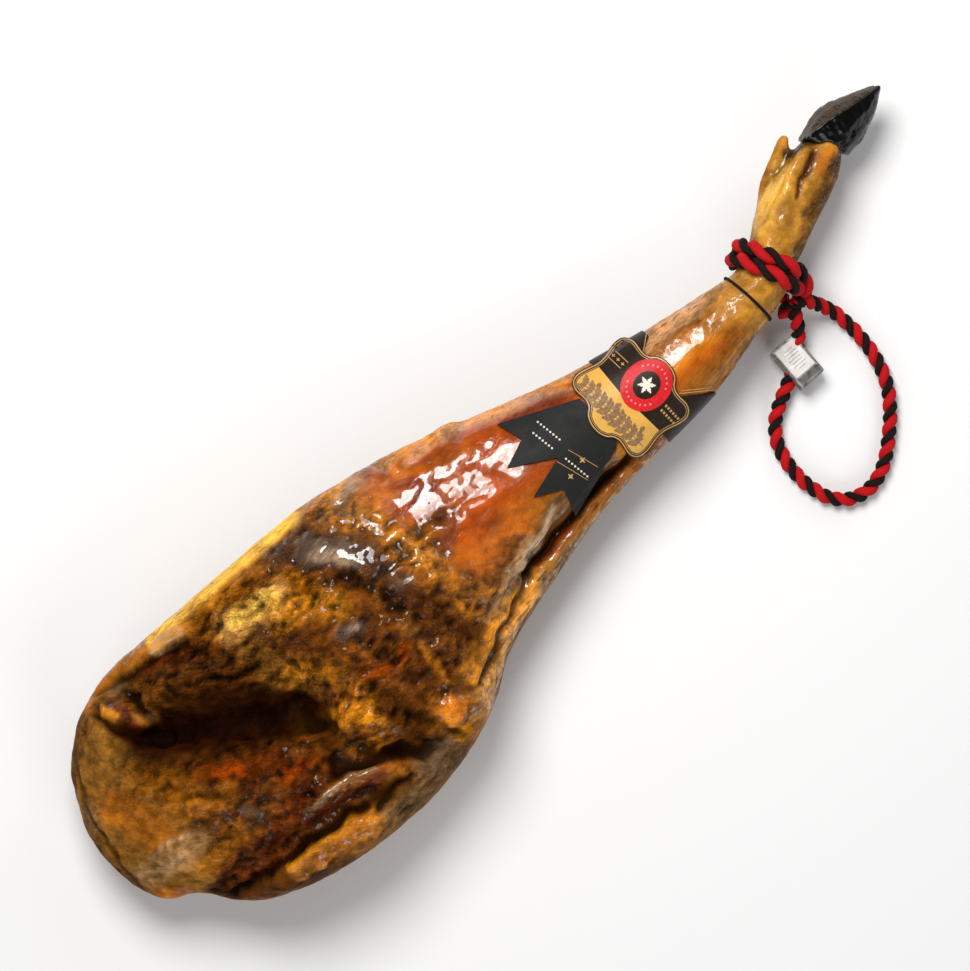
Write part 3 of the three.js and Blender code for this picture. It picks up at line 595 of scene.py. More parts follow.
PAINT = [
    ("crust", [(-300, 0), (-110, 0)], 95, 1.0, 0.48, 0.8, 0.2),
    ("tan", [(-330, 62), (-325, 0), (-320, -20)], 34, 0.95, 0.3, 0.35, 0.15),
    ("tan", [(-296, 70), (-300, 30)], 22, 0.8, 0.35, 0.4, 0.2),
    ("orange", [(-318, 36), (-312, 8)], 13, 0.5, 0.45, 0.35, 0.1),
    ("ochre", [(-290, 34), (-278, 10), (-262, 0)], 14, 0.95, 0.45, 0.5, 0.1),
    ("umber", [(-280, 8), (-262, -6), (-252, -12)], 2.6, 0.7, 0.3, 0.6, 0.2),
    ("ash", [(-340, -8), (-322, -12), (-298, -16)], 10, 0.6, 0.35, 0.3, 0.6),
    ("silver", [(-326, 0), (-312, -3), (-296, -8)], 1.0, 0.5, 0.7, 0.3, 0.7),
    ("silver", [(-330, -10), (-308, -16)], 1.6, 0.4, 0.6, 0.2, 0.6),
    ("umber", [(-304, 95), (-324, 66), (-337, 42), (-344, 10), (-346, -14)], 1.7, 0.6, 0.3, 0.4, 0.0),
    ("mould", [(-314, 98), (-334, 70), (-346, 44)], 5, 0.5, 0.2, 0.5, 0.2),
    ("ochre", [(-300, -32), (-268, -34)], 10, 0.6, 0.4, 0.6, 0.3),
    ("orange", [(-340, -26), (-328, -34)], 6, 0.7, 0.5, 0.3, 0.1),
    ("umber", [(-338, 66), (-322, 82), (-300, 94)], 8, 0.55, 0.3, 0.8, 0.0),
    ("umber", [(-349, 30), (-348, 0), (-344, -22)], 5, 0.5, 0.2, 0.6, 0.0),
    ("slate", [(-340, 36), (-334, 46)], 7, 0.5, 0.3, 0.7, 0.0),
    ("russet", [(-300, -46), (-262, -50), (-226, -44)], 12, 0.7, 0.4, 0.8, 0.3),
    ("umber", [(-262, 40), (-236, 34), (-204, 18)], 30, 0.85, 0.25, 0.7, 0.3),
    ("umber", [(-262, 76), (-230, 62), (-200, 52)], 14, 0.6, 0.4, 0.9, 0.9),
    # Painted shade in the butt's deep cavity, the flap's crease and the rim fold
    ("hollow", [(-276, 58), (-262, 46), (-238, 26), (-210, 8), (-192, -8)], 13, 0.97, 0.12, 0.35, 0.2),
    ("hollow", [(-240, 44), (-212, 22), (-196, 4)], 13, 0.8, 0.15, 0.4, 0.2),
    ("hollow", [(-287, 92), (-284, 74), (-278, 54)], 5.0, 0.9, 0.2, 0.3, 0.0),
    ("hollow", [(-282, 97), (-262, 90), (-240, 85), (-214, 76)], 4.5, 0.85, 0.2, 0.3, 0.2),
    ("mould", [(-270, 92), (-262, 88)], 5, 0.5, 0.5, 0.3, 0.2),
    ("russet", [(-276, 84), (-272, 66), (-262, 60)], 5, 0.8, 0.6, 0.4, 0.2),
    ("gold", [(-280, 86), (-278, 78)], 2.6, 0.8, 0.5, 0.3, 0.1),
    ("tan", [(-268, 66), (-264, 60)], 4, 0.6, 0.6, 0.3, 0.1),
    ("ochre", [(-286, 98), (-250, 99), (-220, 96)], 5, 0.9, 0.5, 0.3, 0.2),
    ("gold", [(-226, 96), (-190, 91), (-150, 90), (-100, 86), (-70, 78)], 6.5, 0.95, 0.5, 0.3, 0.5),
    ("butter", [(-228, 99), (-190, 94), (-150, 91), (-110, 88)], 5.0, 0.9, 0.4, 0.3, 0.5),
    # Painted highlight on the rim swell
    ("beige", [(-228, 89), (-212, 86)], 5, 0.7, 0.9, 0.15, 0.1),
    ("russet", [(-240, 82), (-212, 70), (-196, 62)], 6, 0.5, 0.4, 0.8, 0.9),
    ("ochre", [(-190, 76), (-160, 66), (-140, 56)], 15, 0.65, 0.3, 1.0, 0.1),
    ("beige", [(-186, 66), (-168, 60), (-152, 58)], 11, 0.9, 0.4, 0.85, 0.1),
    ("butter", [(-178, 66), (-158, 60)], 8, 0.6, 0.4, 0.8, 0.1),
    ("gold", [(-158, 46), (-134, 36), (-128, 28)], 12, 0.6, 0.42, 0.8, 0.1),
    ("tan", [(-186, 46), (-182, 24), (-172, 6)], 11, 0.5, 0.35, 0.9, 0.2),
    ("gold", [(-178, 18), (-164, 12), (-156, -6)], 8, 0.6, 0.4, 1.0, 0.1),
    ("crust", [(-152, 20), (-140, -10), (-130, -40)], 18, 0.75, 0.42, 0.6, 0.5),
    ("umber", [(-196, -6), (-186, -16), (-192, -28)], 8, 0.85, 0.2, 0.5, 0.1),
    ("russet", [(-262, 10), (-240, -6), (-222, -14)], 8, 0.75, 0.35, 0.6, 0.2),
    ("amber", [(-258, 6), (-244, -4)], 4, 0.5, 0.35, 0.6, 0.1),
    ("umber", [(-260, -20), (-256, -34)], 7, 0.7, 0.5, 0.6, 0.1),
    ("slate", [(-259, -24), (-257, -31)], 4, 0.5, 0.6, 0.4, 0.1),
    ("hollow", [(-262, -30), (-258, -37)], 3, 0.6, 0.4, 0.4, 0.1),
    ("russet", [(-226, -26), (-206, -32)], 8, 0.6, 0.35, 0.7, 0.2),
    ("amber", [(-224, -24), (-214, -28)], 4, 0.5, 0.4, 0.7, 0.1),
    ("ochre", [(-174, -26), (-156, -24), (-163, -42)], 11, 0.95, 0.5, 0.9, 0.0),
    ("gold", [(-164, -26), (-161, -34)], 4, 0.5, 0.5, 0.8, 0.0),
    ("ochre", [(-184, -42), (-172, -52)], 5, 0.7, 0.5, 0.8, 0.0),
    ("umber", [(-148, -26), (-147, -46), (-152, -70)], 8, 0.55, 0.3, 0.6, 0.5),
    ("umber", [(-140, -50), (-134, -62), (-144, -76)], 9, 0.7, 0.3, 0.6, 0.2),
    ("umber", [(-122, 8), (-116, -30), (-110, -46)], 12, 0.5, 0.38, 0.6, 0.5),
    ("amber", [(-146, -16), (-124, -24), (-116, -20)], 4, 0.5, 0.4, 0.8, 0.1),
    ("ochre", [(-107, -27), (-109, -40), (-113, -56)], 3.0, 0.6, 0.5, 0.6, 0.2),
    ("tan", [(-104, 20), (-102, -4), (-106, -16)], 5, 0.5, 0.5, 0.5, 0.3),
    ("slate", [(-196, -46), (-180, -58)], 5, 0.5, 0.7, 0.3, 0.2),
    # Painted shade in the deep groove by the knob
    ("hollow", [(-204, -44), (-186, -54), (-165, -64), (-157, -76)], 4.5, 0.9, 0.15, 0.3, 0.1),
    ("mould", [(-232, -51), (-206, -53), (-184, -61)], 2.4, 0.5, 0.8, 0.3, 0.6),
    # Silvery skin with a painted highlight along the fold's edge
    ("silver", [(-226, -50.5), (-206, -53)], 1.0, 0.3, 0.9, 0.2, 0.6),
    ("russet", [(-236, -58), (-210, -62), (-184, -68)], 5, 0.75, 0.6, 0.5, 0.3),
    # Painted shade in the lower groove
    ("hollow", [(-306, -57), (-268, -63), (-232, -68), (-202, -74), (-176, -78)], 4.0, 0.9, 0.15, 0.3, 0.1),
    ("umber", [(-312, -50), (-290, -64), (-262, -78)], 8, 0.8, 0.25, 0.7, 0.1),
    ("ochre", [(-262, -74), (-236, -78), (-208, -84)], 7, 0.85, 0.6, 0.4, 0.4),
    ("gold", [(-266, -68), (-240, -71), (-216, -74)], 2.4, 0.6, 0.6, 0.3, 0.5),
    ("umber", [(-262, -84), (-236, -92)], 5, 0.6, 0.3, 0.8, 0.1),
    ("mould", [(-196, -92), (-166, -94), (-142, -88)], 9, 0.85, 0.35, 0.6, 0.2),
    ("slate", [(-160, -84), (-144, -82)], 8, 0.7, 0.35, 0.5, 0.1),
    # Painted shade in the third groove
    ("hollow", [(-196, -80), (-176, -84)], 3.5, 0.7, 0.2, 0.4, 0.1),
    ("ochre", [(-124, -68), (-112, -78)], 12, 0.95, 0.6, 0.7, 0.0),
    ("orange", [(-124, -64), (-118, -72)], 5, 0.6, 0.6, 0.5, 0.0),
    ("tan", [(-116, -82), (-104, -84)], 6, 0.7, 0.6, 0.5, 0.1),
    ("gold", [(-128, -88), (-110, -92)], 7, 0.8, 0.4, 0.5, 0.1),
    ("umber", [(-132, 74), (-112, 70), (-92, 58), (-86, 40)], 10, 0.7, 0.7, 0.6, 0.2),
    ("slate", [(-118, 64), (-106, 54), (-98, 42)], 9, 0.85, 0.98, 0.2, 0.4),
    # Silvery skin with a painted highlight on the dark ridge
    ("silver", [(-115, 60), (-107, 51), (-99, 41)], 4.5, 0.5, 1.0, 0.4, 0.9),
    ("crust", [(-114, 36), (-106, 10), (-100, -10)], 9, 0.6, 0.4, 0.8, 0.2),
    ("umber", [(-94, 40), (-88, 20), (-90, 4)], 8, 0.6, 0.8, 0.7, 0.1),
    ("slate", [(-90, 12), (-84, 6)], 5, 0.6, 0.95, 0.4, 0.3),
    ("slate", [(-136, 12), (-126, 8)], 5, 0.6, 0.95, 0.4, 0.3),
    # Silvery skin with painted highlights on two small ridges
    ("silver", [(-133, 11), (-127, 9)], 2.2, 0.45, 0.9, 0.3, 0.4),
    ("silver", [(-88, 10), (-83, 8)], 2.2, 0.4, 0.9, 0.3, 0.4),
    ("umber", [(-92, 10), (-86, -20), (-80, -40)], 9, 0.6, 0.4, 0.7, 0.1),
    ("ochre", [(-92, 72), (-76, 50), (-68, 20), (-64, -30)], 13, 0.8, 0.6, 0.75, 0.2),
    ("gold", [(-80, 62), (-70, 52)], 9, 0.6, 0.7, 0.6, 0.1),
    ("gold", [(-76, 36), (-72, 20), (-64, -10), (-60, -30)], 6, 0.4, 0.75, 0.8, 0.1),
    ("mould", [(-84, 70), (-62, 72)], 5, 0.5, 0.9, 0.2, 0.3),
    # Silvery skin with a painted highlight along the upper edge
    ("silver", [(-86, 74), (-70, 71), (-58, 66)], 2.2, 0.5, 0.95, 0.15, 0.7),
    ("slate", [(-58, 70), (-52, 66)], 6, 0.6, 0.7, 0.3, 0.1),
    ("amber", [(-44, 50), (-20, 44), (20, 30), (60, 16)], 24, 0.95, 0.95, 0.08, 0.12),
    ("amber", [(-40, -2), (10, 4), (60, 0)], 20, 0.9, 0.75, 0.15, 0.12),
    ("deep amber", [(-46, 48), (-38, 38)], 8, 0.7, 0.9, 0.1, 0.0),
    ("orange", [(-66, 62), (-54, 54), (-44, 58)], 8, 0.75, 0.85, 0.4, 0.1),
    ("deep amber", [(-47, 54), (-40, 48)], 5, 0.7, 0.85, 0.2, 0.1),
    ("orange", [(-40, 58), (-20, 44), (-2, 40)], 5, 0.5, 0.75, 0.1, 0.2),
    # Painted highlight along the amber fat's upper ridge
    ("pink", [(-34, 59), (-14, 57), (0, 53)], 2.6, 0.6, 0.98, 0.1, 0.5),
    ("deep amber", [(30, 34), (66, 18)], 5, 0.7, 0.9, 0.05, 0.3),
    ("orange", [(-52, -10), (-34, -18), (0, -14)], 12, 0.7, 0.7, 0.3, 0.1),
    ("crust", [(-60, -20), (-44, -29), (-20, -27)], 8, 0.6, 0.6, 0.6, 0.2),
    ("amber", [(-10, 60), (30, 42), (80, 24)], 6, 0.7, 0.9, 0.05, 0.4),
    ("gold", [(-44, 70), (-10, 62), (30, 48), (70, 30), (110, 21)], 6.0, 0.9, 0.5, 0.2, 0.7),
    # Painted highlight streak along the upper edge
    ("pink", [(-8, 55), (20, 44.5), (46, 33), (72, 19.5)], 2.6, 0.65, 1.0, 0.05, 0.5),
    ("deep amber", [(26, 36), (50, 27), (74, 17)], 2.2, 0.7, 0.9, 0.05, 0.4),
    ("ash", [(-64, -47), (-44, -40), (-12, -30)], 5, 0.65, 0.7, 0.2, 0.9),
    ("beige", [(-104, -78), (-70, -62), (-30, -54)], 6, 0.8, 0.6, 0.15, 0.9),
    ("tan", [(-30, -54), (20, -50), (90, -47)], 6, 0.85, 0.6, 0.2, 0.9),
    ("gold", [(-98, -64), (-60, -52), (-30, -46)], 7, 0.85, 0.6, 0.3, 0.6),
    ("umber", [(-92, -70), (-66, -58)], 2.2, 0.6, 0.4, 0.3, 0.8),
    ("slate", [(-40, -46), (-24, -40), (0, -30), (26, -26), (60, -30)], 4.5, 0.75, 0.7, 0.1, 0.7),
    # Silvery skin with a painted highlight over the slit's upper edge
    ("silver", [(-36, -38), (-10, -31.5), (12, -27)], 1.5, 0.5, 0.9, 0.1, 0.7),
    # Painted shade in the slit
    ("hollow", [(-30, -43), (-10, -40.5), (20, -38.5), (78, -36.5)], 3.6, 0.95, 0.35, 0.1, 0.2),
    ("deep amber", [(-22, -45), (10, -42)], 2.6, 0.6, 0.8, 0.1, 0.1),
    ("russet", [(-4, -46), (60, -42.5), (100, -43)], 2.4, 0.6, 0.6, 0.1, 0.8),
    ("skin", [(96, -14), (204, -14)], 34, 0.95, 0.52, 0.15, 0.5),
    ("umber", [(122, 7), (134, 2), (150, -3), (160, -5)], 2.0, 0.7, 0.7, 0.1, 0.5),
    ("russet", [(122, -40), (150, -43), (190, -37)], 3.0, 0.6, 0.5, 0.3, 0.6),
    ("amber", [(124, -20), (146, -24), (178, -24)], 7, 0.8, 0.7, 0.1, 0.2),
    ("orange", [(122, -13), (150, -14), (172, -17)], 2.2, 0.8, 0.95, 0.05, 0.2),
    ("orange", [(122, -18), (160, -26), (190, -28)], 8, 0.45, 0.8, 0.1, 0.2),
    ("gold", [(130, -14), (170, -18), (204, -20)], 8, 0.55, 0.8, 0.1, 0.2),
    ("tan", [(118, 10), (150, 7), (190, -1)], 9, 0.6, 0.8, 0.1, 0.8),
    # Painted sheen along the top of the shank
    ("pink", [(126, 4), (150, 3), (172, 0)], 4, 0.6, 0.9, 0.1, 0.9),
    ("beige", [(120, -42), (160, -40), (200, -34)], 4, 0.6, 0.5, 0.2, 0.6),
    ("trotter", [(204, -16), (250, -2), (300, 12)], 34, 0.97, 0.55, 0.25, 0.1),
    # Painted highlight along the trotter's upper side and dewclaw
    ("butter", [(230, 8), (252, 16), (270, 26)], 6, 0.4, 0.6, 0.2, 0.1),
    ("orange", [(286, 10), (296, 8)], 7, 0.6, 0.6, 0.2, 0.1),
    ("umber", [(262, -12), (280, -6), (298, 1)], 7, 0.85, 0.5, 0.8, 0.1),
    ("tan", [(222, -30), (246, -21), (262, -14)], 6, 0.8, 0.4, 0.7, 0.1),
    ("umber", [(212, -4), (222, -2)], 2, 0.4, 0.4, 0.5, 0.1),
    ("tan", [(240, -18), (264, -10), (284, -4)], 5, 0.6, 0.4, 0.5, 0.1),
    ("russet", [(260, 5), (276, 11), (288, 18)], 1.7, 0.9, 0.5, 0.2, 0.0),
    ("umber", [(232, 8), (252, 14), (268, 19)], 1.0, 0.35, 0.5, 0.2, 0.0),
    ("black", [(280, 28), (290, 26.5), (302, 22)], 4.0, 0.97, 0.5, 0.6, 0.0),
]

# The leg's even grid, and the noise, sized in millimetres, that bends its folds and its paint
MEAT_VOXEL = 1.85 * MM
SMOOTH_ROUNDS = 6
WARP_SEED = 3
WARP_SIZE = 14
WARP_REACH = 3.2
# For the painted shade and light on the leg: rounds of smoothing, and the height in millimetres over or
# under the smoothed surface that gives their full strength
SHADE_SMOOTHING_ROUNDS = 8
SHADE_FULL_HEIGHT = 0.9


def sculpt_meat():
    """The leg from its CAD surface, with finer folds, crumbs and lumps, and its paint, with painted shade
    in its hollows and painted light on its crests.
    """
    noise.seed_set(WARP_SEED)
    mesh = even_mesh("ham", MEAT_VOXEL, SMOOTH_ROUNDS)
    places, normals = points_of(mesh)
    warp = np.array([noise.noise_vector(Vector(p) / WARP_SIZE) for p in places]) * WARP_REACH
    bent = places + warp
    upper = smoothstep(normals[:, 2], 0.05, 0.4)
    rise = np.zeros(len(places))
    for _, path, width, height in RELIEF:
        rise += height * np.exp(-(path_distance(bent, path) / width) ** 2)

    on_top = smoothstep(places[:, 2], 24, 44) * smoothstep(normals[:, 2], -0.25, 0.1)
    paint = np.tile(np.array(COLOURS["rind"][:3]), (len(places), 1))
    nature = np.tile(np.array([0.3, 0.3, 0.3]), (len(places), 1))
    for colour, path, width, strength, *wear in PAINT:
        share = strength * np.exp(-(path_distance(bent, path) / width) ** 4) * on_top
        paint += share[:, None] * (np.array(COLOURS[colour][:3]) - paint)
        nature += share[:, None] * (np.array(wear) - nature)

    crumb = nature[:, 1]
    lumps = noise_values(places, 13, 3, 3.1)
    creases = -np.abs(noise_values(bent * (0.5, 1, 1), 10, 3, 8.3))
    pebbles = 0.4 - np.array([noise.voronoi(Vector(p) / 6.5)[0][0] for p in bent])
    torn = -np.abs(noise_values(bent * (0.3, 1, 1), 6, 2, 5.7))
    facing = smoothstep(normals[:, 2], 0.1, 0.55)
    covered = smoothstep(places[:, 0], -6, 10) * (1 - smoothstep(places[:, 0], 136, 150))
    calm = 1 - 0.85 * covered
    rise = rise * upper + calm * crumb * (1.5 * lumps + 3.2 * (creases + 0.2) + 1.1 * pebbles) * facing
    rise += calm * nature[:, 2] * 2.2 * (torn + 0.2) * on_top + 0.5 * calm * lumps
    rise *= smoothstep(places[:, 2], 0.5, 8)
    moved = places + normals * rise[:, None]
    moved[:, 2] = np.maximum(moved[:, 2], 0)
    move_points(mesh, moved)

    # Painted shade and painted light: the paint goes darker where a point lies below its smoothed
    # neighbours and lighter where it stands above them
    edges = np.empty(len(mesh.edges) * 2, int)
    mesh.edges.foreach_get("vertices", edges)
    edges = edges.reshape(-1, 2)
    count = np.bincount(edges.ravel(), minlength=len(moved))[:, None]
    soft = moved.copy()
    for _ in range(SHADE_SMOOTHING_ROUNDS):
        total = np.zeros_like(soft)
        np.add.at(total, edges[:, 0], soft[edges[:, 1]])
        np.add.at(total, edges[:, 1], soft[edges[:, 0]])
        soft = total / count
    ridge = np.clip(((moved - soft) * normals).sum(1) / SHADE_FULL_HEIGHT, -1, 1)
    depth = np.minimum(0.3 + 0.8 * crumb + 0.4 * nature[:, 2], 1)
    paint *= (1 + np.where(ridge > 0, 0.9, 0.85) * ridge * depth)[:, None]
    add_colours(mesh, "paint", np.c_[paint, np.ones(len(paint))])
    add_colours(mesh, "nature", np.c_[nature, np.ones(len(paint))])
    return mesh


piece("ham_meat", sculpt_meat(), (meat_finish(),), replaces=["ham"])


# Hooves

HORN = horn_finish()
HOOF_VOXEL = 0.8 * MM
# The hooves' ridge seen from above, from x and y at the trotter to x and y at the tip, in millimetres
HOOF_RIDGE = ((300, 26), (351, 17))


def sculpt_hoof(node):
    """A hoof from its CAD surface, with growth rings and a browner upper face."""
    mesh = even_mesh(node, HOOF_VOXEL, SMOOTH_ROUNDS)
    places, normals = points_of(mesh)
    rings = noise_values(places * (1, 0.2, 0.2), 3.0, 2, 1.7)
    dents = noise_values(places, 7, 3, 4.4)
    moved = places + normals * (0.25 * rings + 0.45 * dents)[:, None]
    move_points(mesh, moved)
    (x0, y0), (x1, y1) = HOOF_RIDGE
    ridge_y = y0 + (places[:, 0] - x0) * (y1 - y0) / (x1 - x0)
    brown = smoothstep(places[:, 1] - ridge_y, -1, 2.5) * smoothstep(normals[:, 1], 0.0, 0.35)
    layer = mesh.attributes.new("brown", "FLOAT", "POINT")
    layer.data.foreach_set("value", brown.astype(np.float32))
    return mesh


for hoof_node in ("hoof_upper", "hoof_lower"):
    piece(hoof_node + "_horn", sculpt_hoof(hoof_node), (HORN,), replaces=[hoof_node])


# Round the ankle: rope and thread

leg_bm = merged_copy("ham")
LEG = BVHTree.FromBMesh(leg_bm)
leg_bm.free()

# The leg's middle line seen from above, in millimetres: x, then y
MIDDLE_LINE = ((94, 137, 197, 215, 231, 250), (-12.5, -18, -19.5, -16, -6.5, 0))
MIDDLE_HEIGHT = 40 * MM


def ankle_point(x, slant, angle, away):
    """A place over the skin of the ankle in a slanting section, at that angle from below towards -Y."""
    centre = Vector((x, np.interp(x / MM, *MIDDLE_LINE) * MM, MIDDLE_HEIGHT))
    ray = Vector((slant * -sin(angle), -sin(angle), -cos(angle))).normalized()
    hit = LEG.ray_cast(centre + ray * 80 * MM, -ray)[0]
    return (hit or centre) + ray * away


# The tie's turns: stops along them, x of the first and last, slant, then angles in degrees
TIE_STOPS = 44
TIE_X = (0.2238, 0.2086)
TIE_SLANT = -0.27
TIE_START = 118
TIE_SWEEP = 650
TIE_PHASE = 0.8
TIE_PITCH = 26 * MM
TIE_FULL = 1.08
ROPE_REST = 5.5 * MM
CROSSING = [
    (0.2045, -0.041, 0.0175), (0.211, -0.0425, 0.0215), (0.219, -0.043, 0.0275), (0.2265, -0.0415, 0.034),
]


def tie_line():
    """From the short end over the crossing, then nearly two turns round the ankle towards the butt."""
    points = [Vector(p) for p in CROSSING]
    for i in range(TIE_STOPS + 1):
        share = i / TIE_STOPS
        x = TIE_X[0] + share * (TIE_X[1] - TIE_X[0])
        angle = radians(TIE_START + share * TIE_SWEEP)
        points.append(ankle_point(x, TIE_SLANT, angle, ROPE_REST))
    return smooth_line(points, LINE_STEP)


tie_strands = rope_mesh("rope_tie_strands", tie_line(), TIE_PHASE, TIE_PITCH, TIE_FULL)
piece("rope_tie_strands", tie_strands, (RED_YARN, BLACK_YARN), replaces=["rope_tie"])

THREAD_R = 0.5 * MM
THREAD_AWAY = 1.0 * MM
THREAD_STOPS = 40
# Each turn of the thread: where it goes round the ankle, and its slant
THREAD_TURNS = ((0.1940, -0.035), (0.1949, -0.045))
THREAD_DARK = yarn_finish("dark_thread", srgb(18, 12, 9), srgb(52, 34, 24))


def thread_mesh():
    bm = bmesh.new()
    for x, slant in THREAD_TURNS:
        stops = range(THREAD_STOPS + 1)
        ring = [ankle_point(x, slant, i / THREAD_STOPS * tau, THREAD_AWAY) for i in stops]
        add_tube(bm, smooth_line(ring, 1.5 * MM), THREAD_R, 0, sides=8)
    bmesh.ops.recalc_face_normals(bm, faces=bm.faces)
    return mesh_from(bm, "ankle_thread_turns")


piece("ankle_thread_turns", thread_mesh(), (THREAD_DARK,), replaces=["ankle_thread"])


# Paper on the shank

# Where the leg's height is read round a place: 4 mm apart along the leg and 3 mm apart across it
SAMPLES = ((0, 0), (2, 0), (-2, 0), (0, 1.5), (0, -1.5))
SIDE_REACH = 12 * MM
SIDE_STEP = 0.5 * MM
SIDE_FALL = 1.5
LOWEST_PAPER = 30 * MM
CAVITY_LOW = -46 * MM
CAVITY_HIGH = -30 * MM
CAVITY_WIDTH = 16 * MM
CAVITY_END = 90 * MM
STEEPEST = 2.2
PAPER_GRID = 2.1 * MM
# Heights of the layers over the leg, and thicknesses, in millimetres
BAND_PRINT = 1.5
TAILS_LEVEL = 1.6
TAILS_PRINT = 1.7
LABEL_LEVEL = 2.6
LABEL_PRINT = 2.7
RING_LEVEL = 2.82
DISC_LEVEL = 2.94
ROSETTE_LEVEL = 3.06
INK = 0.15
FOIL = 0.2


def top_of_leg(x, y):
    """Height of the leg below a place; past the leg's side it goes on falling from there."""
    middle = np.interp(x / MM, *MIDDLE_LINE) * MM
    past = 0.0
    while past < SIDE_REACH:
        hit = LEG.ray_cast(Vector((x, y, 0.3)), Vector((0, 0, -1)))[0]
        if hit:
            return hit.z - SIDE_FALL * past
        y += copysign(SIDE_STEP, middle - y)
        past += SIDE_STEP
    return LOWEST_PAPER


def leg_height(x, y, level):
    """A place's height that far over the leg, evened out and carried straight across the cavity."""
    heights = [top_of_leg(x + dx * MM, y + dy * MM) for dx, dy in SAMPLES]
    slope = hypot(heights[1] - heights[2], 4 / 3 * (heights[3] - heights[4])) / (4 * MM)
    height = sum(heights) / len(heights)
    if CAVITY_LOW < y < CAVITY_HIGH and x < CAVITY_END:
        share = (CAVITY_HIGH - y) / CAVITY_WIDTH
        bridge = (1 - share) * top_of_leg(x, CAVITY_HIGH) + share * top_of_leg(x, CAVITY_LOW)
        height = max(height, bridge)
    return height + level * min(hypot(1, slope), STEEPEST)


def cut_up(bm, low, high, step):
    """Cuts flat faces along lines every step, so that they can bend over the leg."""
    for axis in (0, 1):
        place = low[axis]
        while place < high[axis]:
            at = Vector((0, 0, 0))
            at[axis] = place
            across = Vector((0, 0, 0))
            across[axis] = 1
            everything = [*bm.verts, *bm.edges, *bm.faces]
            bmesh.ops.bisect_plane(bm, geom=everything, dist=1e-7, plane_co=at, plane_no=across)
            place += step


def lay_on_leg(bm, level, thick):
    """Bends a flat outline over the leg and gives it its thickness downwards."""
    bmesh.ops.triangulate(bm, faces=bm.faces)
    xs = [v.co.x for v in bm.verts]
    ys = [v.co.y for v in bm.verts]
    cut_up(bm, (min(xs), min(ys)), (max(xs), max(ys)), PAPER_GRID)
    for v in bm.verts:
        v.co.z = leg_height(v.co.x, v.co.y, level)
    bmesh.ops.recalc_face_normals(bm, faces=bm.faces)
    if sum(f.normal.z for f in bm.faces) < 0:
        bmesh.ops.reverse_faces(bm, faces=bm.faces)
    under = bmesh.ops.extrude_face_region(bm, geom=bm.faces[:])
    for v in under["geom"]:
        if isinstance(v, bmesh.types.BMVert):
            v.co.z -= thick
    bmesh.ops.recalc_face_normals(bm, faces=bm.faces)


def flat_face(bm, outline):
    face = bm.faces.new([bm.verts.new((x * MM, y * MM, 0)) for x, y in outline])
    face.normal_update()
    if face.normal.z < 0:
        face.normal_flip()
    return face


def paper(name, outlines, level, thick, material, replaces=()):
    bm = bmesh.new()
    for outline in outlines:
        flat_face(bm, outline)
    lay_on_leg(bm, level * MM, thick * MM)
    return piece(name, mesh_from(bm, name), (material,), replaces, smooth=False)


DARK_PAPER = paper_finish("charcoal_paper", srgb(30, 31, 30), 0.55, 0.01, 0.0)
BLACK_PAPER = paper_finish("black_paper", srgb(34, 20, 11), 0.42, 0.02, 0.02)
GOLD_PAPER = paper_finish("gold_paper", srgb(212, 160, 66), 0.42, 0.1, 0.1)
GOLD_LINE = paper_finish("gold_print", srgb(186, 142, 82), 0.38, 0.1, 0.3)
RED_PAPER = paper_finish("red_print", srgb(200, 16, 32), 0.45, 0.05, 0.05)
BROWN_INK = paper_finish("brown_ink", srgb(126, 88, 44), 0.5, 0.25)
PALE_INK = paper_finish("pale_ink", srgb(222, 214, 200), 0.5, 0.05)
PALE_RED = paper_finish("pale_red_print", srgb(236, 120, 110), 0.5, 0.05)

TAILS = [
    (72, 12), (23.5, 37.4), (27.7, 19.5), (8.4, 13.2), (35.7, -5), (7, -11.6), (24.1, -21.5), (17.4, -39.5),
    (66, -27), (74, -20),
]
paper("ribbon_tails_paper", [TAILS], TAILS_LEVEL, 0.5, DARK_PAPER,
      replaces=["ribbon_tails"])

# The label's middle, half widths and half height in millimetres, and its turn in radians
LABEL = {"x": 96, "y": -10.8, "corner": 25, "half": 33.8, "bulge": 32, "turn": -0.09}


def bezier(points, steps):
    """Places along a curve from its first point up to, but without, its last one."""
    a, b, c, d = [np.array(p, float) for p in points]
    places = []
    for i in range(steps):
        t = i / steps
        s = 1 - t
        places.append(tuple(s ** 3 * a + 3 * s ** 2 * t * b + 3 * s * t * t * c + t ** 3 * d))
    return places


def label_outline():
    """The label's edge: lobed corners, dipped long edges and a bulge at each end."""
    c, h, b = LABEL["corner"], LABEL["half"], LABEL["bulge"]
    curves = [
        ((0, h - 3), (6, h - 3), (10, h), (c - 8, h)),
        ((c - 8, h), (c - 2, h), (c + 1, h - 5), (c, h - 11)),
        ((c, h - 11), (c - 1, h - 16), (c - 1, h - 19), (c + 1.5, h - 22)),
        ((c + 1.5, h - 22), (b - 2, 10), (b, 5), (b, 0)),
    ]
    quarter = [p for curve in curves for p in bezier(curve, 6)] + [(b, 0)]
    right = quarter + [(x, -y) for x, y in reversed(quarter[:-1])]
    whole = right + [(-x, y) for x, y in reversed(right[1:-1])]
    turn = Matrix.Rotation(LABEL["turn"], 2)
    return [(LABEL["x"] + p.x, LABEL["y"] + p.y) for p in (turn @ Vector(q) for q in whole)]


# The label's borders from its edge inwards: the material's slot, and the width in millimetres
BORDERS = ((1, 0.7), (0, 0.8), (1, 0.8), (0, 0.4), (1, 0.5))
# Where its dark field meets the gold one: a place on each cut, in millimetres, and the cut's lean
FIELD_CUTS = (((93.5, 4), -0.12), ((93, -24), 0.04))
FIELD_EDGE = 93


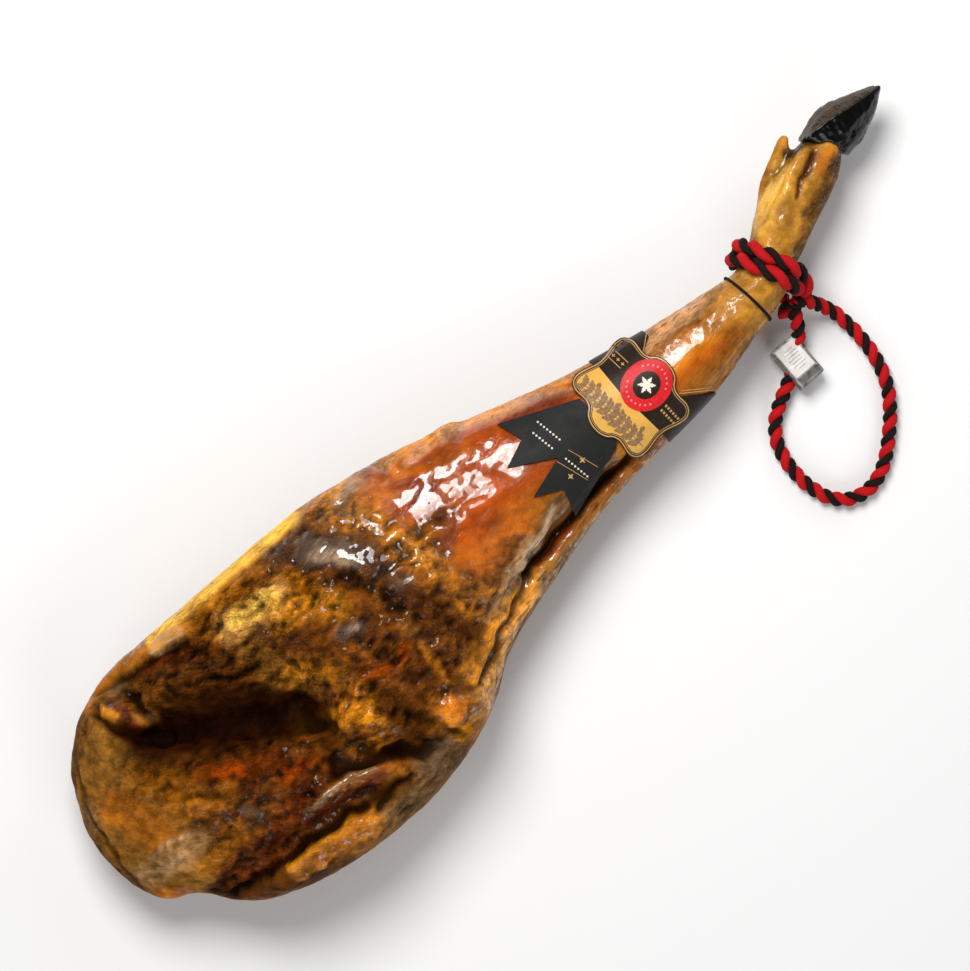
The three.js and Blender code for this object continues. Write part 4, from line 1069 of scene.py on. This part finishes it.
def label_mesh():
    """The label with its printed borders as rings of faces, then its gold and its dark field."""
    bm = bmesh.new()
    face = flat_face(bm, label_outline())
    for slot, width in BORDERS:
        ring = bmesh.ops.inset_region(bm, faces=[face], thickness=width * MM,
                                      use_even_offset=True, use_boundary=True)
        for f in ring["faces"]:
            f.material_index = slot
    face.material_index = 2
    for (x, y), lean in FIELD_CUTS:
        fields = [f for f in bm.faces if f.material_index == 2]
        geom = {e for f in fields for e in (*f.edges, *f.verts)}
        bmesh.ops.bisect_plane(bm, geom=[*fields, *geom], dist=1e-7,
                               plane_co=(x * MM, y * MM, 0), plane_no=(1, lean, 0))
    for f in bm.faces:
        x, y = f.calc_center_median().xy / MM
        if f.material_index == 2 and x > FIELD_EDGE:
            f.material_index = 1
    lay_on_leg(bm, LABEL_LEVEL * MM, 0.6 * MM)
    return mesh_from(bm, "label_card")


def oval(x, y, rx, ry, count=36):
    around = [i / count * tau for i in range(count)]
    return [(x + rx * cos(a), y + ry * sin(a)) for a in around]


def leaf(x, y, turn, long, wide):
    """A leaf that starts at a place: pointed at both ends and a little wavy."""
    rise = [(i / 7, wide / 2 * sin(pi * (i / 7) ** 0.8) * (1 + 0.18 * (-1) ** i)) for i in range(8)]
    shape = [(t * long, w) for t, w in rise] + [(t * long, -w) for t, w in reversed(rise[1:-1])]
    return [(x + u * cos(turn) - v * sin(turn), y + u * sin(turn) + v * cos(turn)) for u, v in shape]


def bar(x0, y0, x1, y1, wide):
    """A straight printed line between two places."""
    length = hypot(x1 - x0, y1 - y0)
    nx, ny = (y0 - y1) / length * wide / 2, (x1 - x0) / length * wide / 2
    return [(x0 + nx, y0 + ny), (x0 - nx, y0 - ny), (x1 - nx, y1 - ny), (x1 + nx, y1 + ny)]


def star(x, y, outer, inner):
    """A star with four tips."""
    tips = [(outer if i % 2 == 0 else inner, i / 4 * pi) for i in range(8)]
    return [(x + r * cos(a), y + r * sin(a)) for r, a in tips]


def branch(x0, y0, x1, y1, count, long, wide):
    """A stem with leaves in pairs, drawn from its foot to its tip."""
    lean = np.arctan2(y1 - y0, x1 - x0)
    drawn = [bar(x0, y0, x1, y1, 0.7)]
    for i in range(count):
        t = (i + 0.6) / count
        x, y = x0 + (x1 - x0) * t, y0 + (y1 - y0) * t
        size = 1 - 0.35 * abs(t - 0.4)
        drawn += [leaf(x, y, lean + side * 0.85, long * size, wide * size) for side in (-1, 1)]
    return drawn


piece("label_card", label_mesh(), (GOLD_LINE, BLACK_PAPER, GOLD_PAPER), ["label"], False)

# Prints on the label and the tails, as outlines in millimetres seen from above
RING = {"x": 108, "y": -12.2}
DASH_ROWS = (-42, -39.8, -37.6, -35.4, -33.2, -31)
# Each row of marks: where it starts, and how many there are
MARK_ROWS = ((39.5, -9, 8), (43.5, 20, 8), (36.5, 17, 7))
branch_print = branch(79, -38, 80.5, 17, 10, 9.5, 5.2)
branch_print += [oval(86.5, y, 2.0, 1.5, 12) for y in (-30, -9, 9)]
paper("label_branch", branch_print, LABEL_PRINT, INK, BROWN_INK)
paper("label_ring", [oval(RING["x"], RING["y"], 18, 15.4, 48)], RING_LEVEL, 0.25, RED_PAPER)
paper("label_disc", [oval(RING["x"], RING["y"], 9.6, 8.2)], DISC_LEVEL, FOIL, BLACK_PAPER)
dots = [oval(RING["x"] + 13.8 * cos(a), RING["y"] + 11.8 * sin(a), 0.8, 0.7, 8)
        for a in (i / 24 * tau for i in range(24)) if abs(cos(a)) > 0.28]
paper("label_dots", dots, DISC_LEVEL, FOIL, PALE_RED)
rosette = [leaf(RING["x"], RING["y"], i / 6 * tau + 0.2, 6, 2.6) for i in range(6)]
paper("label_rosette", rosette, ROSETTE_LEVEL, FOIL, PALE_INK)
flourish = [bar(104, 7, 104, 18, 0.5), bar(110, 6, 110, 17, 0.5)]
flourish += [star(107, y, 1.5, 0.6) for y in (8, 12, 16)]
flourish += [bar(x, y, x, y + 1.3, 1.6) for x in (103.5, 107.5) for y in DASH_ROWS]
paper("label_flourish", flourish, LABEL_PRINT, INK, GOLD_LINE)
rules = [bar(43.8, -6, 49.5, -27, 0.35), bar(33.5, -6, 39.5, -30, 0.35)]
rules += [star(45.5, -17, 2.6, 0.9), star(33, -19, 2.4, 0.9)]
paper("tail_rules", rules, TAILS_PRINT, INK, GOLD_LINE)
marks = [star(x + 0.26 * (row - 3), y - row * 2.5, 0.95, 0.5)
         for x, y, count in MARK_ROWS for row in range(count)]
paper("tail_marks", marks, TAILS_PRINT, INK, PALE_INK)

# The paper band, in millimetres: its straight edge's x, and the y and x of places along its other edge
BAND_FROM = 94
BAND_EDGE = ((-46.5, -31.5, -15, 1, 12), (137, 118, 115, 117, 132))


def band_mesh():
    """A paper sleeve round the shank; on the cut side its edge runs out into two tails."""
    bm = bmesh.new()
    bmesh.ops.create_grid(bm, x_segments=14, y_segments=96, size=0.5)
    for v in bm.verts:
        along, angle = v.co.x + 0.5, (v.co.y + 0.5) * tau
        level = ankle_point(116 * MM, 0, angle, 0)
        hidden_end = 137 if level.y < -17 * MM else 132
        end = np.interp(level.y / MM, *BAND_EDGE) if level.z > 45 * MM else hidden_end
        v.co = ankle_point((BAND_FROM + along * (end - BAND_FROM)) * MM, 0, angle, 1.0 * MM)
    bmesh.ops.remove_doubles(bm, verts=bm.verts, dist=1e-6)
    bmesh.ops.recalc_face_normals(bm, faces=bm.faces)
    return mesh_from(bm, "band_sleeve")


band = piece("band_sleeve", band_mesh(), (BLACK_PAPER,), ["paper_band"])
sheet = band.modifiers.new("paper thickness", "SOLIDIFY")
sheet.thickness = 0.5 * MM
sheet.offset = -1
edges = [bar(118.8, -30.5, 137, -45, 0.5), bar(121, -30.3, 137, -43, 0.4), bar(121, 3.7, 132.5, 11.3, 0.5)]
paper("band_lines", edges, BAND_PRINT, 0.3, GOLD_LINE)


# Seal

SEAL_SIZE = Vector((19.5, 31, 12)) * MM
SEAL_END = 6.6 * MM
SEAL_PLACE = Matrix.Translation((0.1903, -0.0715, 0.0106)) @ Matrix.Rotation(-0.08, 4, "X")
SEAL_PLACE = SEAL_PLACE @ Matrix.Rotation(0.08, 4, "Y") @ Matrix.Rotation(-0.08, 4, "Z")
SEAL_GREY = shell_finish("seal_shell", srgb(60, 58, 55), srgb(156, 154, 150), 0.4, 0.4)
SEAL_WHITE = shell_finish("seal_plate", srgb(186, 181, 174), srgb(216, 213, 210), 0.45)
SEAL_DARK = shell_finish("seal_end", srgb(46, 45, 42), srgb(104, 102, 99), 0.45, 0.3)
# The lines printed on the plate, in millimetres: where each begins and ends
SEAL_LINES = ((-3, 3), (-5, 5), (-4, 5), (-5, 4), (-4, 4), (-5, 5), (-2, 3))


def seal_mesh():
    """A bevelled box with a sunk white plate and a sunk dark end."""
    bm = bmesh.new()
    bmesh.ops.create_cube(bm, size=1, matrix=Matrix.Diagonal((*SEAL_SIZE, 1)))
    everything = [*bm.verts, *bm.edges, *bm.faces]
    bmesh.ops.bisect_plane(bm, geom=everything, dist=1e-7,
                           plane_co=(0, SEAL_END - SEAL_SIZE.y / 2, 0), plane_no=(0, 1, 0))
    long_edges = [e for e in bm.edges if e.calc_face_angle(0) > 1]
    bmesh.ops.bevel(bm, geom=long_edges, offset=1.1 * MM, segments=3, profile=0.5,
                    affect="EDGES", material=-1)
    bm.normal_update()
    tops = sorted((f for f in bm.faces if f.normal.z > 0.99), key=lambda f: f.calc_center_median().y)
    for face, slot, sink in ((tops[0], 2, -0.5), (tops[-1], 1, -0.3)):
        bmesh.ops.inset_region(bm, faces=[face], thickness=0.7 * MM, depth=0)
        bmesh.ops.inset_region(bm, faces=[face], thickness=0.25 * MM, depth=sink * MM)
        face.material_index = slot
    bmesh.ops.transform(bm, matrix=SEAL_PLACE, verts=bm.verts)
    bmesh.ops.recalc_face_normals(bm, faces=bm.faces)
    return mesh_from(bm, "seal_body")


def seal_print_mesh():
    """Short grey lines printed across the white plate."""
    bm = bmesh.new()
    for i, (left, right) in enumerate(SEAL_LINES):
        flat_face(bm, bar(left, 9.5 - 2.3 * i, right, 9.5 - 2.3 * i, 0.6))
    low = bmesh.ops.extrude_face_region(bm, geom=bm.faces[:])["geom"]
    low = [v for v in low if isinstance(v, bmesh.types.BMVert)]
    bmesh.ops.translate(bm, verts=low, vec=(0, 0, -0.15 * MM))
    bmesh.ops.recalc_face_normals(bm, faces=bm.faces)
    on_plate = SEAL_PLACE @ Matrix.Translation((0, 0, SEAL_SIZE.z / 2 - 0.22 * MM))
    bmesh.ops.transform(bm, matrix=on_plate, verts=bm.verts)
    return mesh_from(bm, "seal_print")


seal = piece("seal_body", seal_mesh(), (SEAL_GREY, SEAL_WHITE, SEAL_DARK), ["seal"], False)
SEAL_INK = shell_finish("seal_ink", srgb(120, 118, 116), srgb(168, 166, 164), 0.5)
seal_print = piece("seal_print", seal_print_mesh(), (SEAL_INK,), smooth=False)


# Floor and light

def area_light(name, toward, away, size, power, colour=(1, 1, 1)):
    """A soft light that looks at the leg's middle from a direction."""
    lamp = bpy.data.lights.new(name, "AREA")
    lamp.shape = "DISK"
    lamp.size = size
    lamp.energy = power
    lamp.color = colour
    made = bpy.data.objects.new(name, lamp)
    bpy.context.scene.collection.objects.link(made)
    direction = Vector(toward).normalized()
    made.location = VIEW_CENTRE + direction * away
    made.rotation_euler = direction.to_track_quat("Z", "Y").to_euler()


floor_bm = bmesh.new()
bmesh.ops.create_grid(floor_bm, x_segments=1, y_segments=1, size=12)
floor = bpy.data.objects.new("floor", mesh_from(floor_bm, "floor"))
bpy.context.scene.collection.objects.link(floor)
floor.location.z = -0.3 * MM
floor.data.materials.append(floor_finish())

area_light("key", (0.2, 0.46, 0.86), 1.7, 0.9, 34, (1.0, 0.985, 0.965))
area_light("front fill", (-0.2, -0.85, 0.5), 2.2, 1.6, 19, (0.97, 0.98, 1.0))
area_light("butt fill", (-0.85, -0.1, 0.5), 2.2, 1.6, 12)
area_light("foot fill", (0.85, 0.15, 0.5), 2.2, 1.5, 10)
world = bpy.data.worlds.new("studio")
bpy.context.scene.world = world
world.use_nodes = True
world.node_tree.nodes["Background"].inputs["Color"].default_value = (1.0, 0.99, 0.98, 1)
world.node_tree.nodes["Background"].inputs["Strength"].default_value = 0.1
bpy.context.scene.view_settings.view_transform = "Standard"
